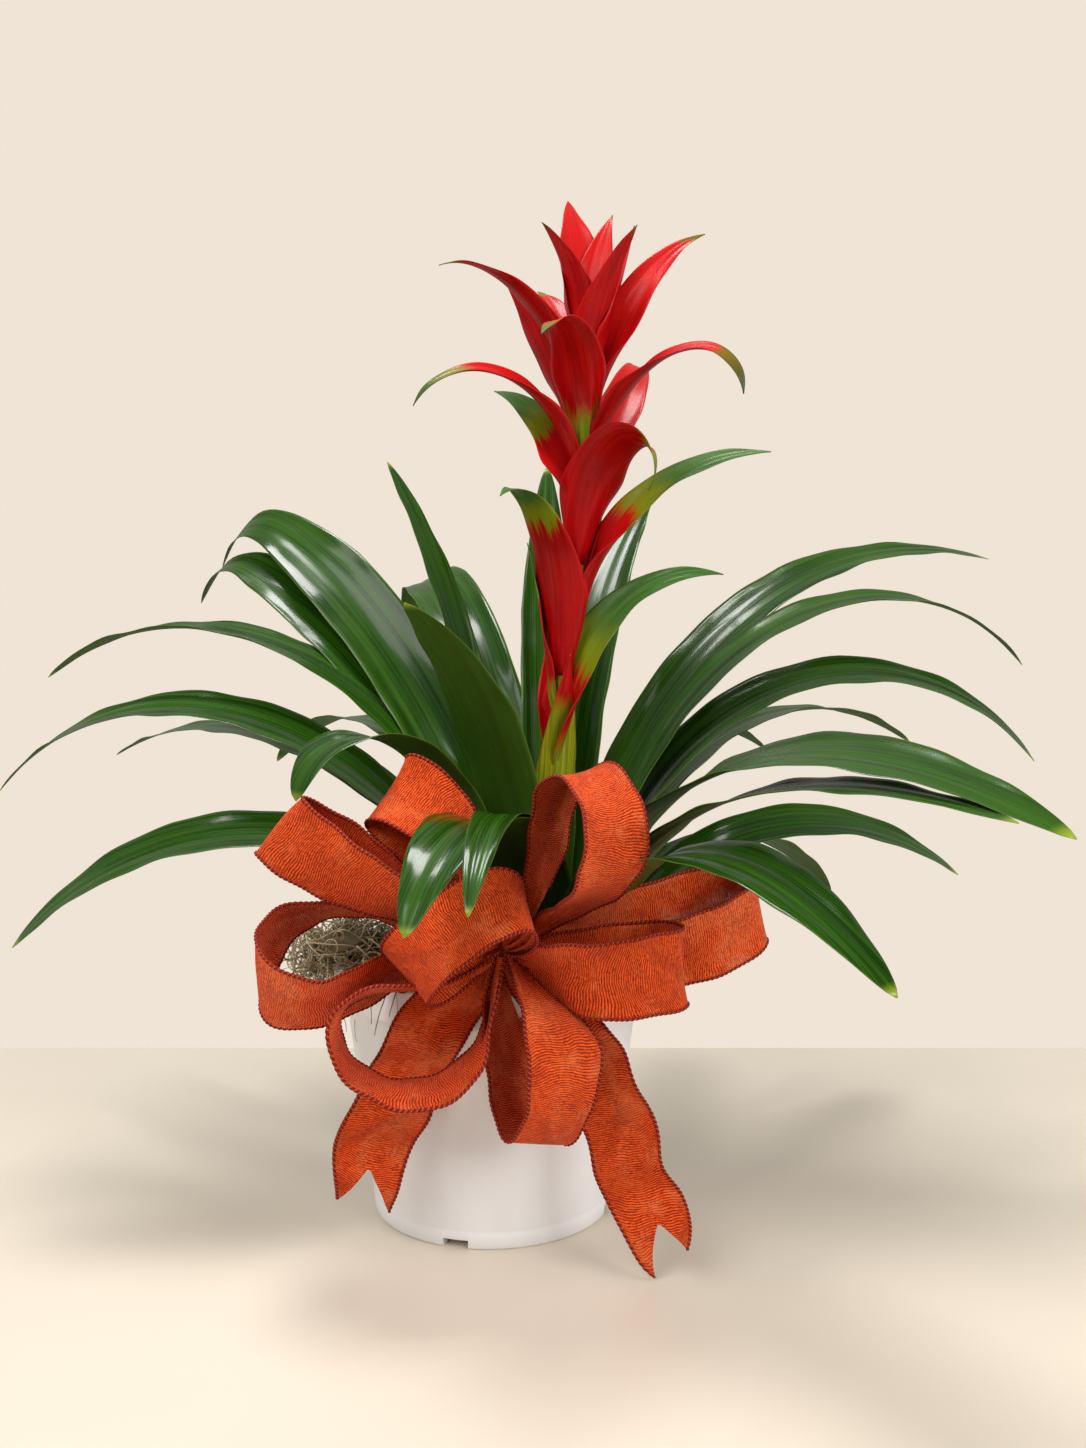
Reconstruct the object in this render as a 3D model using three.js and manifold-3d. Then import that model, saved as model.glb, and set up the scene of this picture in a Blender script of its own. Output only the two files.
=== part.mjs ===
// Potted bromeliad: a guzmania rosette in a nursery pot, with moss and a ribbon bow.
// Millimetres, +Z up. The origin is the centre of the pot's base, on the table.
// The camera of the photo looks along +Y, so -Y is the front and +X is the right.
import * as THREE from 'three'
import { mergeVertices } from 'three/addons/utils/BufferGeometryUtils.js'
import Module from 'manifold-3d'

const wasm = await Module()
wasm.setup()

// Driving dimensions
const POT_TOP_R = 82.5
const POT_HEIGHT = 132
const POT_BASE_R = 63
const RIM_BAND = 18
const WALL = 1.7
const FLOOR_Z = 3
const NOTCH_COUNT = 4
const NOTCH_WIDTH = 13
const NOTCH_HEIGHT = 4.5
const FIT_GAP = 0.3
const POT_SIDES = 44
const SOIL_SIDES = 32

const SOIL_TOP = 119
const CROWN = new THREE.Vector3(31, 4, 108)
const SHEATH_FIRST_R = 7.5
const SHEATH_STEP = 1.05

const LEAF_THICKNESS = 0.7
const LEAF_STEPS = 12
const BRACT_STEPS = 7
const RIBBON_WIDTH = 38
const RIBBON_THICKNESS = 0.6
const BOW_CENTRE = new THREE.Vector3(8, -84, 155)

const rad = THREE.MathUtils.degToRad
const clamp = THREE.MathUtils.clamp
const smooth = x => THREE.MathUtils.smoothstep(x, 0, 1)

// Seeded random numbers, the same on every run
function randomSource(seed) {
  let state = seed
  return () => {
    state = (state * 1664525 + 1013904223) % 4294967296
    return state / 4294967296
  }
}

// Solid helpers
function toSolid(geometry) {
  geometry.deleteAttribute('normal')
  geometry.deleteAttribute('uv')
  const merged = mergeVertices(geometry, 1e-4)
  return new wasm.Manifold(new wasm.Mesh({
    numProp: 3,
    vertProperties: Float32Array.from(merged.attributes.position.array),
    triVerts: Uint32Array.from(merged.index.array)
  }))
}

function toGeometry(solid) {
  const mesh = solid.getMesh()
  const geometry = new THREE.BufferGeometry()
  geometry.setAttribute('position', new THREE.BufferAttribute(mesh.vertProperties, 3))
  geometry.setIndex(new THREE.BufferAttribute(mesh.triVerts, 1))
  geometry.computeVertexNormals()
  return geometry
}

function largestPiece(solid) {
  return solid.decompose().reduce((best, piece) => (piece.volume() > best.volume() ? piece : best))
}

// A closed solid from rings of points: each ring has the same number of points, in order
// anticlockwise seen from the far end. Each end is closed by a zigzag between its two long faces.
// The second half of a ring is split the other way, so that both faces of a blade are split alike.
function ringsSolid(rings) {
  const count = rings[0].length
  const position = rings.flat().flatMap(point => [point.x, point.y, point.z])
  const index = []
  for (let ring = 0; ring + 1 < rings.length; ring++) {
    for (let side = 0; side < count; side++) {
      const next = (side + 1) % count
      const a = ring * count + side
      const b = ring * count + next
      if (side < count / 2) index.push(a, b, b + count, a, b + count, a + count)
      else index.push(a, b, a + count, b, b + count, a + count)
    }
  }
  const last = (rings.length - 1) * count
  for (let near = 0; near < (count - 2) / 2; near++) {
    const far = count - 1 - near
    index.push(far, near + 1, near)
    index.push(last + near, last + near + 1, last + far)
    if (far - 1 > near + 1) {
      index.push(far, far - 1, near + 1)
      index.push(last + far, last + near + 1, last + far - 1)
    }
  }
  const geometry = new THREE.BufferGeometry()
  geometry.setAttribute('position', new THREE.Float32BufferAttribute(position, 3))
  geometry.setIndex(index)
  return toSolid(geometry)
}

// Sections along a strip: the upper face left to right, then the lower face back again.
function stripRings(frames, columns) {
  return frames.map(frame => {
    const upper = []
    const lower = []
    for (let column = 0; column <= columns; column++) {
      const across = 2 * column / columns - 1
      const angle = across * frame.halfWidth / frame.curl
      const side = frame.curl * Math.sin(angle)
      const rise = frame.curl * (1 - Math.cos(angle))
      const normal = frame.up.clone().multiplyScalar(Math.cos(angle))
        .addScaledVector(frame.side, -Math.sin(angle))
      const middle = frame.at.clone().addScaledVector(frame.side, side).addScaledVector(frame.up, rise)
      upper.push(middle.clone().addScaledVector(normal, frame.thickness / 2))
      lower.push(middle.clone().addScaledVector(normal, -frame.thickness / 2))
    }
    return [...upper, ...lower.reverse()]
  })
}

// Leaves and bracts share one law. The midrib starts at `base` heading along azimuth `az`, climbs at
// `rise` degrees and bends to `fall` degrees by its tip; `bend` delays the bend, `swing` turns it
// sideways, `roll` turns the blade about its midrib, `hook` folds the tip down further and `splay`
// leans the foot outwards. The blade is curled around the stem at its foot and opens as it goes.
function bladeFrames(blade, base, steps, thickness, extra = 0) {
  const { roll = 0, hook = 0, swing = 0, splay = 0 } = blade
  const frames = []
  const at = base.clone()
  const turn = s => rad(blade.az + swing * s ** 1.5)
  const climb = s => rad(blade.rise + (blade.fall - blade.rise) * s ** blade.bend
    - hook * smooth((s - 0.8) / 0.2) - splay * (1 - smooth(s / 0.15)))
  const fine = 4
  for (let step = 0; step <= steps * fine; step++) {
    const s = step / (steps * fine)
    if (step % fine === 0) {
      const side = new THREE.Vector3(Math.sin(turn(s)), -Math.cos(turn(s)), 0)
      const up = new THREE.Vector3(
        -Math.sin(climb(s)) * Math.cos(turn(s)),
        -Math.sin(climb(s)) * Math.sin(turn(s)),
        Math.cos(climb(s)))
      const foot = Math.min(blade.half, blade.footHalf)
      const body = foot + (blade.half - foot) * smooth(s / 0.35)
      const point = clamp((1 - s) / blade.taper, 0, 1) ** 0.6
      const heading = new THREE.Vector3().crossVectors(side, up).negate()
      const turned = rad(roll) * smooth(s / 0.5)
      side.applyAxisAngle(heading, turned)
      up.applyAxisAngle(heading, turned)
      frames.push({
        at: at.clone(),
        side,
        up,
        halfWidth: Math.max(body * point, 0.9) + extra,
        curl: blade.footR + blade.cup * blade.half * Math.min(s / 0.4, 1) ** 1.2,
        thickness
      })
    }
    const middle = (step + 0.5) / (steps * fine)
    const run = blade.length / (steps * fine)
    at.x += run * Math.cos(climb(middle)) * Math.cos(turn(middle))
    at.y += run * Math.cos(climb(middle)) * Math.sin(turn(middle))
    at.z += run * Math.sin(climb(middle))
  }
  return frames
}

// Pot: one lathed wall with a stepped rim band, a foot ring and a flat pad under its centre
function wallRadius(z) {
  return THREE.MathUtils.lerp(POT_BASE_R - 0.8, POT_TOP_R - 3, z / POT_HEIGHT)
}

function potSolid() {
  const bandFoot = POT_HEIGHT - RIM_BAND
  const profile = [
    [0, 0], [20, 0], [22, 2], [55, 2], [57, 0], [POT_BASE_R, 0], [POT_BASE_R + 0.6, 8.5],
    [wallRadius(9.5), 9.5], [wallRadius(60), 60], [wallRadius(bandFoot - 7), bandFoot - 7],
    [wallRadius(bandFoot - 6) + 0.8, bandFoot - 6], [wallRadius(bandFoot) + 0.8, bandFoot],
    [POT_TOP_R - 1.2, bandFoot + 1], [POT_TOP_R - 0.4, POT_HEIGHT - 3], [POT_TOP_R, POT_HEIGHT - 2.2],
    [POT_TOP_R, POT_HEIGHT], [POT_TOP_R - WALL - 0.6, POT_HEIGHT],
    [innerRadius(bandFoot), bandFoot], [innerRadius(FLOOR_Z + 2), FLOOR_Z + 2], [54, FLOOR_Z + 1.2],
    [0, FLOOR_Z + 1.2]
  ]
  const wall = new THREE.LatheGeometry(profile.map(([r, z]) => new THREE.Vector2(r, z)), POT_SIDES)
  let pot = toSolid(wall.rotateX(Math.PI / 2))
  for (let notch = 0; notch < NOTCH_COUNT; notch++) {
    const angle = rad(255 + notch * 360 / NOTCH_COUNT)
    const cutter = new THREE.BoxGeometry(12, NOTCH_WIDTH, NOTCH_HEIGHT * 2)
    cutter.rotateZ(angle)
    cutter.translate(POT_BASE_R * Math.cos(angle), POT_BASE_R * Math.sin(angle), 0)
    pot = pot.subtract(toSolid(cutter))
  }
  return pot
}

function innerRadius(z) {
  return wallRadius(z) - WALL
}

// Growing mix: fills the pot, with a crumbly top and plain holes for the rosette and the bow wire
function soilSolid() {
  const radius = z => innerRadius(z) - FIT_GAP
  const floor = FLOOR_Z + 1.2 + FIT_GAP
  const profile = [
    [0, floor], [53, floor], [radius(8) - 1, 8], [radius(60), 60], [radius(SOIL_TOP - 4), SOIL_TOP - 4],
    [radius(SOIL_TOP) - 3, SOIL_TOP - 1], [58, SOIL_TOP], [44, SOIL_TOP + 0.5], [0, SOIL_TOP + 1]
  ]
  const body = new THREE.LatheGeometry(profile.map(([r, z]) => new THREE.Vector2(r, z)), SOIL_SIDES)
  body.rotateX(Math.PI / 2)
  const position = body.attributes.position
  for (let i = 0; i < position.count; i++) {
    if (position.getZ(i) > SOIL_TOP - 0.5) {
      const crumb = Math.sin(position.getX(i) * 0.37) * Math.cos(position.getY(i) * 0.29)
      position.setZ(i, position.getZ(i) + crumb)
    }
  }
  const crownR = SHEATH_FIRST_R + SHEATH_STEP * LEAVES.length + 1.5
  const crownHole = new THREE.CylinderGeometry(crownR + 18, crownR, 40, 32).rotateX(Math.PI / 2)
  crownHole.translate(CROWN.x, CROWN.y, CROWN.z - FIT_GAP + 20)
  const wireHole = tubeSolid(wirePath(FIT_GAP), 1, 10, WIRE_RADIUS + 1)
  return toSolid(body).subtract(toSolid(crownHole)).subtract(wireHole)
}

// Leaves, from the innermost sheath to the outermost. Angles in degrees, lengths in millimetres.
const LEAVES = [
  { name: 'leaf_inner_back', az: 93, rise: 88, fall: 55, bend: 1.2, swing: -4, length: 312, half: 15 },
  { name: 'leaf_back_upright', az: 77, rise: 87, fall: 36, bend: 0.95, swing: -20, length: 336, half: 19 },
  { name: 'leaf_inner_left', az: 150, rise: 78, fall: 46, bend: 2.5, swing: -20, length: 320, half: 11 },
  { name: 'leaf_front_tall', az: 231, rise: 79, fall: 30, bend: 2.2, swing: 5, length: 240, half: 22 },
  { name: 'leaf_right_top', az: 26, rise: 83, fall: -13, bend: 1.3, swing: -10, length: 411, half: 17, roll: 22 },
  { name: 'leaf_left_back', az: 120, rise: 77, fall: -42, bend: 1.75, swing: -20, length: 424, half: 20, roll: -25, hook: 60 },
  { name: 'leaf_left_high', az: 155, rise: 76, fall: 8, bend: 1.4, swing: -23, length: 399, half: 21, roll: -45, hook: 60 },
  { name: 'leaf_right_high', az: 2, rise: 80, fall: -50, bend: 1.8, swing: 12, length: 390, half: 17, roll: 12 },
  { name: 'leaf_front_small', az: 257, rise: 80, fall: -53, bend: 1.4, swing: 6, length: 245, half: 8 },
  { name: 'leaf_left_second', az: 158, rise: 82, fall: 9, bend: 0.95, swing: -25, length: 386, half: 19, roll: -35, hook: 60 },
  { name: 'leaf_left_long', az: 167, rise: 79, fall: -35, bend: 1.3, swing: -8, length: 407, half: 19, roll: -6 },
  { name: 'leaf_right_middle', az: 4, rise: 85, fall: -55, bend: 1.4, swing: -7, length: 359, half: 18, roll: 22 },
  { name: 'leaf_front_folded', az: 256, rise: 84, fall: -61, bend: 1.35, swing: -12, length: 242, half: 16 },
  { name: 'leaf_back_right', az: 31, rise: 86, fall: -31, bend: 1, length: 330, half: 16 },
  { name: 'leaf_back_middle', az: 104, rise: 85, fall: -29, bend: 0.9, length: 323, half: 18 },
  { name: 'leaf_right_broad', az: 302, rise: 89, fall: -25, bend: 0.75, swing: 9, length: 359, half: 20, roll: 18 },
  { name: 'leaf_left_folded', az: 203, rise: 79, fall: -78, bend: 2.8, swing: 30, length: 233, half: 19 },
  { name: 'leaf_back_left', az: 130, rise: 78, fall: -38, bend: 1.05, length: 348, half: 17 },
  { name: 'leaf_right_thin', az: 58, rise: 81, fall: -27, bend: 1, swing: -8, length: 300, half: 13 },
  { name: 'leaf_left_arched', az: 178, rise: 74, fall: -48, bend: 1.25, swing: -15, length: 378, half: 19, roll: -18 },
  { name: 'leaf_right_narrow', az: 299, rise: 90, fall: -12, bend: 0.6, swing: 11, length: 325, half: 14, roll: 10 },
  { name: 'leaf_back_low', az: 78, rise: 88, fall: -40, bend: 0.8, length: 290, half: 18 },
  { name: 'leaf_left_behind', az: 152, rise: 87, fall: -23, bend: 0.65, swing: -12, length: 382, half: 17, roll: -12 },
  { name: 'leaf_right_low', az: 7, rise: 90, fall: -39, bend: 0.8, swing: -3, length: 249, half: 17, roll: 22 },
  { name: 'leaf_back_lowest', az: 112, rise: 88, fall: -45, bend: 0.8, length: 285, half: 18 },
  { name: 'leaf_front_right', az: 294, rise: 89, fall: -38, bend: 0.74, swing: 9, length: 289, half: 18, roll: 10 },
  { name: 'leaf_left_low', az: 187, rise: 87, fall: -50, bend: 0.75, swing: -2, length: 305, half: 19, roll: -22 },
  { name: 'leaf_right_lowest', az: 42, rise: 88, fall: -45, bend: 0.65, length: 260, half: 17 }
]

function leafSolid(leaf, rank, extra = 0) {
  const footR = SHEATH_FIRST_R + SHEATH_STEP * rank
  const blade = { ...leaf, footR, footHalf: 1.25 * footR, taper: 0.32, cup: 2.2 }
  const out = new THREE.Vector3(Math.cos(rad(leaf.az)), Math.sin(rad(leaf.az)), 0)
  const base = CROWN.clone().addScaledVector(out, footR)
  const frames = bladeFrames(blade, base, LEAF_STEPS, LEAF_THICKNESS + 2 * extra, extra)
  return ringsSolid(stripRings(frames, 3))
}

// Flower spike: a stem with bracts that grow out of it, all one body
const STEM_BASE_R = 5.2
const STEM_TOP = 452
const STEM_LEAN = 17.5
const BRACTS = [
  { z: 207, az: 344, rise: 90, fall: -16, bend: 1.9, length: 181, half: 17, roll: 30 },
  { z: 232, az: 110, rise: 84, fall: 20, bend: 1.4, length: 130, half: 15 },
  { z: 262, az: 165, rise: 88, fall: 75, bend: 1.2, length: 90, half: 12 },
  { z: 286, az: 233, rise: 87, fall: -37, bend: 2.3, swing: 17, length: 131, half: 17 },
  { z: 306, az: 350, rise: 86, fall: -6, bend: 1.1, length: 148, half: 13, roll: 30 },
  { z: 318, az: 60, rise: 84, fall: 25, bend: 1.3, length: 110, half: 14 },
  { z: 340, az: 300, rise: 86, fall: -130, bend: 2.7, swing: 10, length: 119, half: 19 },
  { z: 347, az: 175, rise: 79, fall: 44, bend: 1.4, length: 93, half: 14, roll: -20 },
  { z: 356, az: 105, rise: 82, fall: 15, bend: 1.2, length: 105, half: 14 },
  { z: 364, az: 46, rise: 68, fall: -20, bend: 2.3, swing: 20, length: 150, half: 15 },
  { z: 394, az: 199, rise: 76, fall: -71, bend: 1.3, length: 125, half: 13 },
  { z: 400, az: 337, rise: 60, fall: -89, bend: 1.9, swing: -9, length: 116, half: 13 },
  { z: 399, az: 268, rise: 80, fall: -39, bend: 1.3, swing: -24, length: 118, half: 18 },
  { z: 402, az: 85, rise: 82, fall: 20, bend: 1.3, length: 95, half: 13 },
  { z: 406, az: 151, rise: 78, fall: 48, bend: 1.2, length: 88, half: 13 },
  { z: 438, az: 187, rise: 80, fall: -19, bend: 1.3, length: 101, half: 12 },
  { z: 415, az: 347, rise: 79, fall: 6, bend: 2.7, length: 115, half: 15, roll: 30 },
  { z: 432, az: 9, rise: 74, fall: 77, bend: 1.2, length: 86, half: 14 },
  { z: 436, az: 280, rise: 86, fall: 80, bend: 1.2, length: 62, half: 12 },
  { z: 448, az: 175, rise: 76, fall: 70, bend: 1.1, length: 72, half: 13 },
  { z: 446, az: 102, rise: 79, fall: 57, bend: 1.1, length: 96, half: 13 },
  { z: 450, az: 48, rise: 74, fall: 73, bend: 1.2, length: 78, half: 11 }
]

// The stem leans to the right as it climbs
function stemPoint(z) {
  return new THREE.Vector3(CROWN.x + STEM_LEAN * smooth((z - 180) / 230), CROWN.y, z)
}

function stemRadius(z) {
  return THREE.MathUtils.lerp(STEM_BASE_R, 3.2, (z - CROWN.z) / (STEM_TOP - CROWN.z))
}

function spikeSolid() {
  const rings = []
  const steps = 9
  for (let step = 0; step <= steps; step++) {
    const z = THREE.MathUtils.lerp(CROWN.z, STEM_TOP + 6, step / steps)
    const centre = stemPoint(z)
    const ring = []
    for (let side = 0; side < 10; side++) {
      const angle = side * Math.PI / 5
      ring.push(new THREE.Vector3(
        centre.x + stemRadius(z) * Math.cos(angle),
        centre.y + stemRadius(z) * Math.sin(angle),
        z))
    }
    rings.push(ring)
  }
  const pieces = [ringsSolid(rings)]
  for (const bract of BRACTS) {
    const sunk = stemRadius(bract.z) - 1
    const out = new THREE.Vector3(Math.cos(rad(bract.az)), Math.sin(rad(bract.az)), 0)
    const base = stemPoint(bract.z).addScaledVector(out, sunk)
    const blade = { ...bract, footR: sunk + 1, footHalf: sunk, splay: 40, taper: 0.55, cup: 0.9 }
    pieces.push(ringsSolid(stripRings(bladeFrames(blade, base, BRACT_STEPS, LEAF_THICKNESS), 2)))
  }
  return wasm.Manifold.union(pieces)
}

// Ribbon bow. Each loop starts at `from`, beside the pinch, reaches `end`, and comes back.
// It opens by `open` each side, towards the front; `roll` turns the opening about the loop's axis.
const LOOP_STEPS = 16
const LOOPS = [
  { name: 'bow_loop_upper_left', from: [-2, -72, 162], end: [-100, -66, 210], open: 11, roll: -10 },
  { name: 'bow_loop_top_left', from: [2, -87, 165], end: [-48, -79, 229], open: 11, roll: 15 },
  { name: 'bow_loop_left', from: [-2, -80, 153], end: [-108, -80, 146], open: 19, roll: -30 },
  { name: 'bow_loop_lower_left', from: [1, -94, 146], end: [-63, -121, 112], open: 14, roll: -70 },
  { name: 'bow_loop_bottom', from: [10, -93, 147], end: [24, -116, 74], open: 15, roll: -40 },
  { name: 'bow_loop_right', from: [18, -95, 155], end: [91, -114, 153], open: 15, roll: 12 },
  { name: 'bow_loop_right_back', from: [18, -73, 155], end: [133, -60, 170], open: 9, roll: 12 },
  { name: 'bow_loop_top_right', from: [31, -91, 177], end: [51, -102, 238], open: 18, roll: 44 }
]

function loopFrames(loop, thickness) {
  const root = new THREE.Vector3(...loop.from)
  const axis = new THREE.Vector3(...loop.end).sub(root)
  const length = axis.length()
  axis.normalize()
  const front = new THREE.Vector3(0, -1, 0)
  const across = new THREE.Vector3().crossVectors(axis, front).normalize()
  const open = new THREE.Vector3().crossVectors(across, axis).applyAxisAngle(axis, rad(loop.roll))
  const side = new THREE.Vector3().crossVectors(axis, open)
  const frames = []
  for (let step = 0; step <= LOOP_STEPS; step++) {
    const t = step / LOOP_STEPS
    const angle = Math.PI * t
    const at = root.clone()
      .addScaledVector(axis, length * Math.sin(angle))
      .addScaledVector(open, loop.open * Math.sin(2 * angle) + 1.4 * Math.cos(angle))
    const heading = axis.clone().multiplyScalar(length * Math.cos(angle))
      .addScaledVector(open, 2 * loop.open * Math.cos(2 * angle) - 1.4 * Math.sin(angle))
      .normalize()
    frames.push(ribbonFrame(at, side, heading, smooth(Math.min(t, 1 - t) / 0.3), thickness))
  }
  return frames
}

// One section of ribbon; `spread` is 0 where it is gathered and 1 where it lies at full width
function ribbonFrame(at, side, heading, spread, thickness) {
  return {
    at,
    side: side.clone(),
    up: new THREE.Vector3().crossVectors(side, heading),
    halfWidth: THREE.MathUtils.lerp(4, RIBBON_WIDTH / 2, spread),
    curl: THREE.MathUtils.lerp(6, 90, spread),
    thickness
  }
}

function loopSolid(loop) {
  return ringsSolid(stripRings(loopFrames(loop, RIBBON_THICKNESS), 2))
}

// The front loop is rolled over the pinch: a flat oval band with its two ends nearly meeting
const FRONT_LOOP = { from: [-34, -118, 148], to: [15, -113, 181], depth: 9, gap: 0.05 }

function frontLoopSolid() {
  const from = new THREE.Vector3(...FRONT_LOOP.from)
  const to = new THREE.Vector3(...FRONT_LOOP.to)
  const along = to.clone().sub(from)
  const half = along.length() / 2
  along.normalize()
  const front = new THREE.Vector3(0, -1, 0).addScaledVector(along, along.y).normalize()
  const side = new THREE.Vector3().crossVectors(front, along)
  const middle = from.clone().add(to).multiplyScalar(0.5)
  const frames = []
  for (let step = 0; step <= LOOP_STEPS; step++) {
    const angle = 2 * Math.PI * (FRONT_LOOP.gap + (1 - 2 * FRONT_LOOP.gap) * step / LOOP_STEPS)
    const at = middle.clone()
      .addScaledVector(front, -FRONT_LOOP.depth * Math.cos(angle))
      .addScaledVector(along, half * Math.sin(angle))
    const heading = along.clone().multiplyScalar(half * Math.cos(angle))
      .addScaledVector(front, FRONT_LOOP.depth * Math.sin(angle))
      .normalize()
    const spread = 0.45 + 0.55 * smooth((1 - Math.cos(angle)) / 0.8)
    frames.push(ribbonFrame(at, side, heading, spread, RIBBON_THICKNESS))
  }
  return ringsSolid(stripRings(frames, 2))
}

// Tails: ribbon that hangs from the pinch along hand-placed points and ends in a swallow tail
const TAIL_STEPS = 12
const NOTCH_DEPTH = 15
const TAILS = [
  { name: 'bow_tail_left', path: [[4, -85, 143], [-14, -93, 130], [-31, -98, 106], [-46, -97, 78], [-56, -92, 40]] },
  { name: 'bow_tail_right', path: [[17, -90, 145], [31, -95, 128], [52, -97, 97], [66, -97, 62], [84, -98, 17]] }
]

function tailSolid(tail) {
  const path = new THREE.CatmullRomCurve3(tail.path.map(point => new THREE.Vector3(...point)))
  const front = new THREE.Vector3(0, -1, 0)
  const frames = []
  for (let step = 0; step <= TAIL_STEPS; step++) {
    const t = step / TAIL_STEPS
    const heading = path.getTangentAt(t)
    const side = new THREE.Vector3().crossVectors(heading, front).normalize()
    frames.push(ribbonFrame(path.getPointAt(t), side, heading, smooth(t / 0.3), RIBBON_THICKNESS))
  }
  const ribbon = ringsSolid(stripRings(frames, 2))
  const last = frames[TAIL_STEPS]
  const heading = path.getTangentAt(1)
  const outline = new THREE.Shape([
    new THREE.Vector2(-RIBBON_WIDTH / 2 + 2, 1), new THREE.Vector2(0, -NOTCH_DEPTH),
    new THREE.Vector2(RIBBON_WIDTH / 2 - 2, 1)
  ])
  const cutter = new THREE.ExtrudeGeometry(outline, { depth: 16, bevelEnabled: false })
  cutter.translate(0, 0, -8)
  const normal = new THREE.Vector3().crossVectors(last.side, heading)
  cutter.applyMatrix4(new THREE.Matrix4().makeBasis(last.side, heading, normal).setPosition(last.at))
  return ribbon.subtract(toSolid(cutter))
}

// A length of round wire or moss strand along a curve, as a tube with closed ends
function tubeSolid(curve, steps, sides, radius) {
  const start = curve.getTangentAt(0)
  const side = new THREE.Vector3(0, 0, 1).cross(start)
  if (side.lengthSq() < 1e-6) side.set(1, 0, 0)
  side.normalize()
  const rings = []
  for (let step = 0; step <= steps; step++) {
    const heading = curve.getTangentAt(step / steps)
    side.addScaledVector(heading, -side.dot(heading)).normalize()
    const up = new THREE.Vector3().crossVectors(heading, side)
    const at = curve.getPointAt(step / steps)
    const ring = []
    for (let corner = 0; corner < sides; corner++) {
      const angle = 2 * Math.PI * corner / sides
      ring.push(at.clone()
        .addScaledVector(side, radius * Math.cos(angle))
        .addScaledVector(up, radius * Math.sin(angle)))
    }
    rings.push(ring)
  }
  return ringsSolid(rings)
}

// The pinch: the gathered middle of the bow, a short spool of pleats that the loops fan out from
const PINCH_R = 9.5
const PINCH_DEPTH = 15
const PLEATS = 9

function pinchSolid() {
  const profile = [[0, -0.5], [0.7, -0.46], [1, -0.25], [0.86, 0], [1, 0.25], [0.7, 0.46], [0, 0.5]]
  const spool = new THREE.LatheGeometry(
    profile.map(([r, y]) => new THREE.Vector2(r * PINCH_R, y * PINCH_DEPTH)), PLEATS * 2)
  const position = spool.attributes.position
  for (let i = 0; i < position.count; i++) {
    const angle = Math.atan2(position.getZ(i), position.getX(i))
    const pleat = 1 + 0.08 * Math.cos(PLEATS * angle)
    position.setX(i, position.getX(i) * pleat)
    position.setZ(i, position.getZ(i) * pleat)
  }
  spool.translate(BOW_CENTRE.x, BOW_CENTRE.y, BOW_CENTRE.z)
  return toSolid(spool)
}

// Bow wire: twisted tight behind the pinch, then pushed down into the growing mix
const WIRE_RADIUS = 0.8
const WIRE_FOOT = new THREE.Vector3(12, -60, 92)

function wirePath(deeper = 0) {
  const top = BOW_CENTRE.clone()
  top.y += PINCH_DEPTH / 2 + WIRE_RADIUS + FIT_GAP
  const down = WIRE_FOOT.clone().sub(top).normalize()
  return new THREE.LineCurve3(WIRE_FOOT.clone().addScaledVector(down, deeper), top)
}

// Spanish moss: a low core on the growing mix and over the left rim, with curled strands
// that stand out of it. A strand that would touch another piece is left out.
const MOSS_STRANDS = 26
const MOSS_LUMPS = [
  { at: [-48, -20, 131.5], size: [24, 24, 9.5] },
  { at: [-46, 22, 130.5], size: [24, 24, 8.5] },
  { at: [-24, -45, 128.5], size: [20, 14, 6.5] },
  { at: [-20, 46, 128.5], size: [22, 13, 6.5] },
  { at: [12, 56, 127], size: [24, 10, 5.5] },
  { at: [-74, -12, 142.5], size: [20, 24, 9.5] },
  { at: [-92.5, -8, 134], size: [6.5, 17, 13] }
]

function lumpSolid(lump) {
  const lumpy = new THREE.IcosahedronGeometry(1, 1)
  lumpy.scale(...lump.size)
  lumpy.translate(...lump.at)
  return toSolid(lumpy)
}

function strandCurve(random) {
  const lump = MOSS_LUMPS[Math.floor(random() * MOSS_LUMPS.length)]
  const turn = random() * Math.PI * 2
  const lift = 0.15 + 0.6 * random()
  const out = new THREE.Vector3(Math.cos(turn), Math.sin(turn), lift).normalize()
  const start = new THREE.Vector3(...lump.size).multiply(out).multiplyScalar(0.75)
    .add(new THREE.Vector3(...lump.at))
  const length = 18 + 16 * random()
  const twist = 1 + 1.2 * random()
  const points = []
  for (let i = 0; i <= 6; i++) {
    const t = i / 6
    const angle = turn + twist * t * Math.PI
    points.push(start.clone()
      .addScaledVector(out, length * 0.6 * t)
      .add(new THREE.Vector3(
        4.5 * t * Math.cos(angle),
        4.5 * t * Math.sin(angle),
        -length * 0.45 * t * t)))
  }
  return new THREE.CatmullRomCurve3(points)
}

function mossSolid(neighbours) {
  const random = randomSource(11)
  const lumps = MOSS_LUMPS.map(lumpSolid)
  const strands = []
  while (strands.length < MOSS_STRANDS) {
    const strand = tubeSolid(strandCurve(random), 7, 3, 0.9)
    if (neighbours.every(solid => strand.minGap(solid, 0.6) > 0.5)) strands.push(strand)
  }
  return wasm.Manifold.union([...lumps, ...strands])
}

// Assembly
const group = new THREE.Group()

function place(name, solid, colour, roughness, metalness = 0) {
  const material = new THREE.MeshStandardMaterial({ color: colour, roughness, metalness })
  const mesh = new THREE.Mesh(toGeometry(solid), material)
  mesh.name = name
  group.add(mesh)
}

// Where a leaf would cross one nested inside it, it is trimmed back to leave a gap
function trimmedLeaves(spike) {
  const inner = [{ exact: spike, grown: spike }]
  return LEAVES.map((leaf, rank) => {
    let solid = leafSolid(leaf, rank)
    for (const other of inner) {
      if (solid.intersect(other.exact).volume() > 0) solid = largestPiece(solid.subtract(other.grown))
    }
    inner.push({ exact: solid, grown: leafSolid(leaf, rank, FIT_GAP) })
    return solid
  })
}

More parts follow.
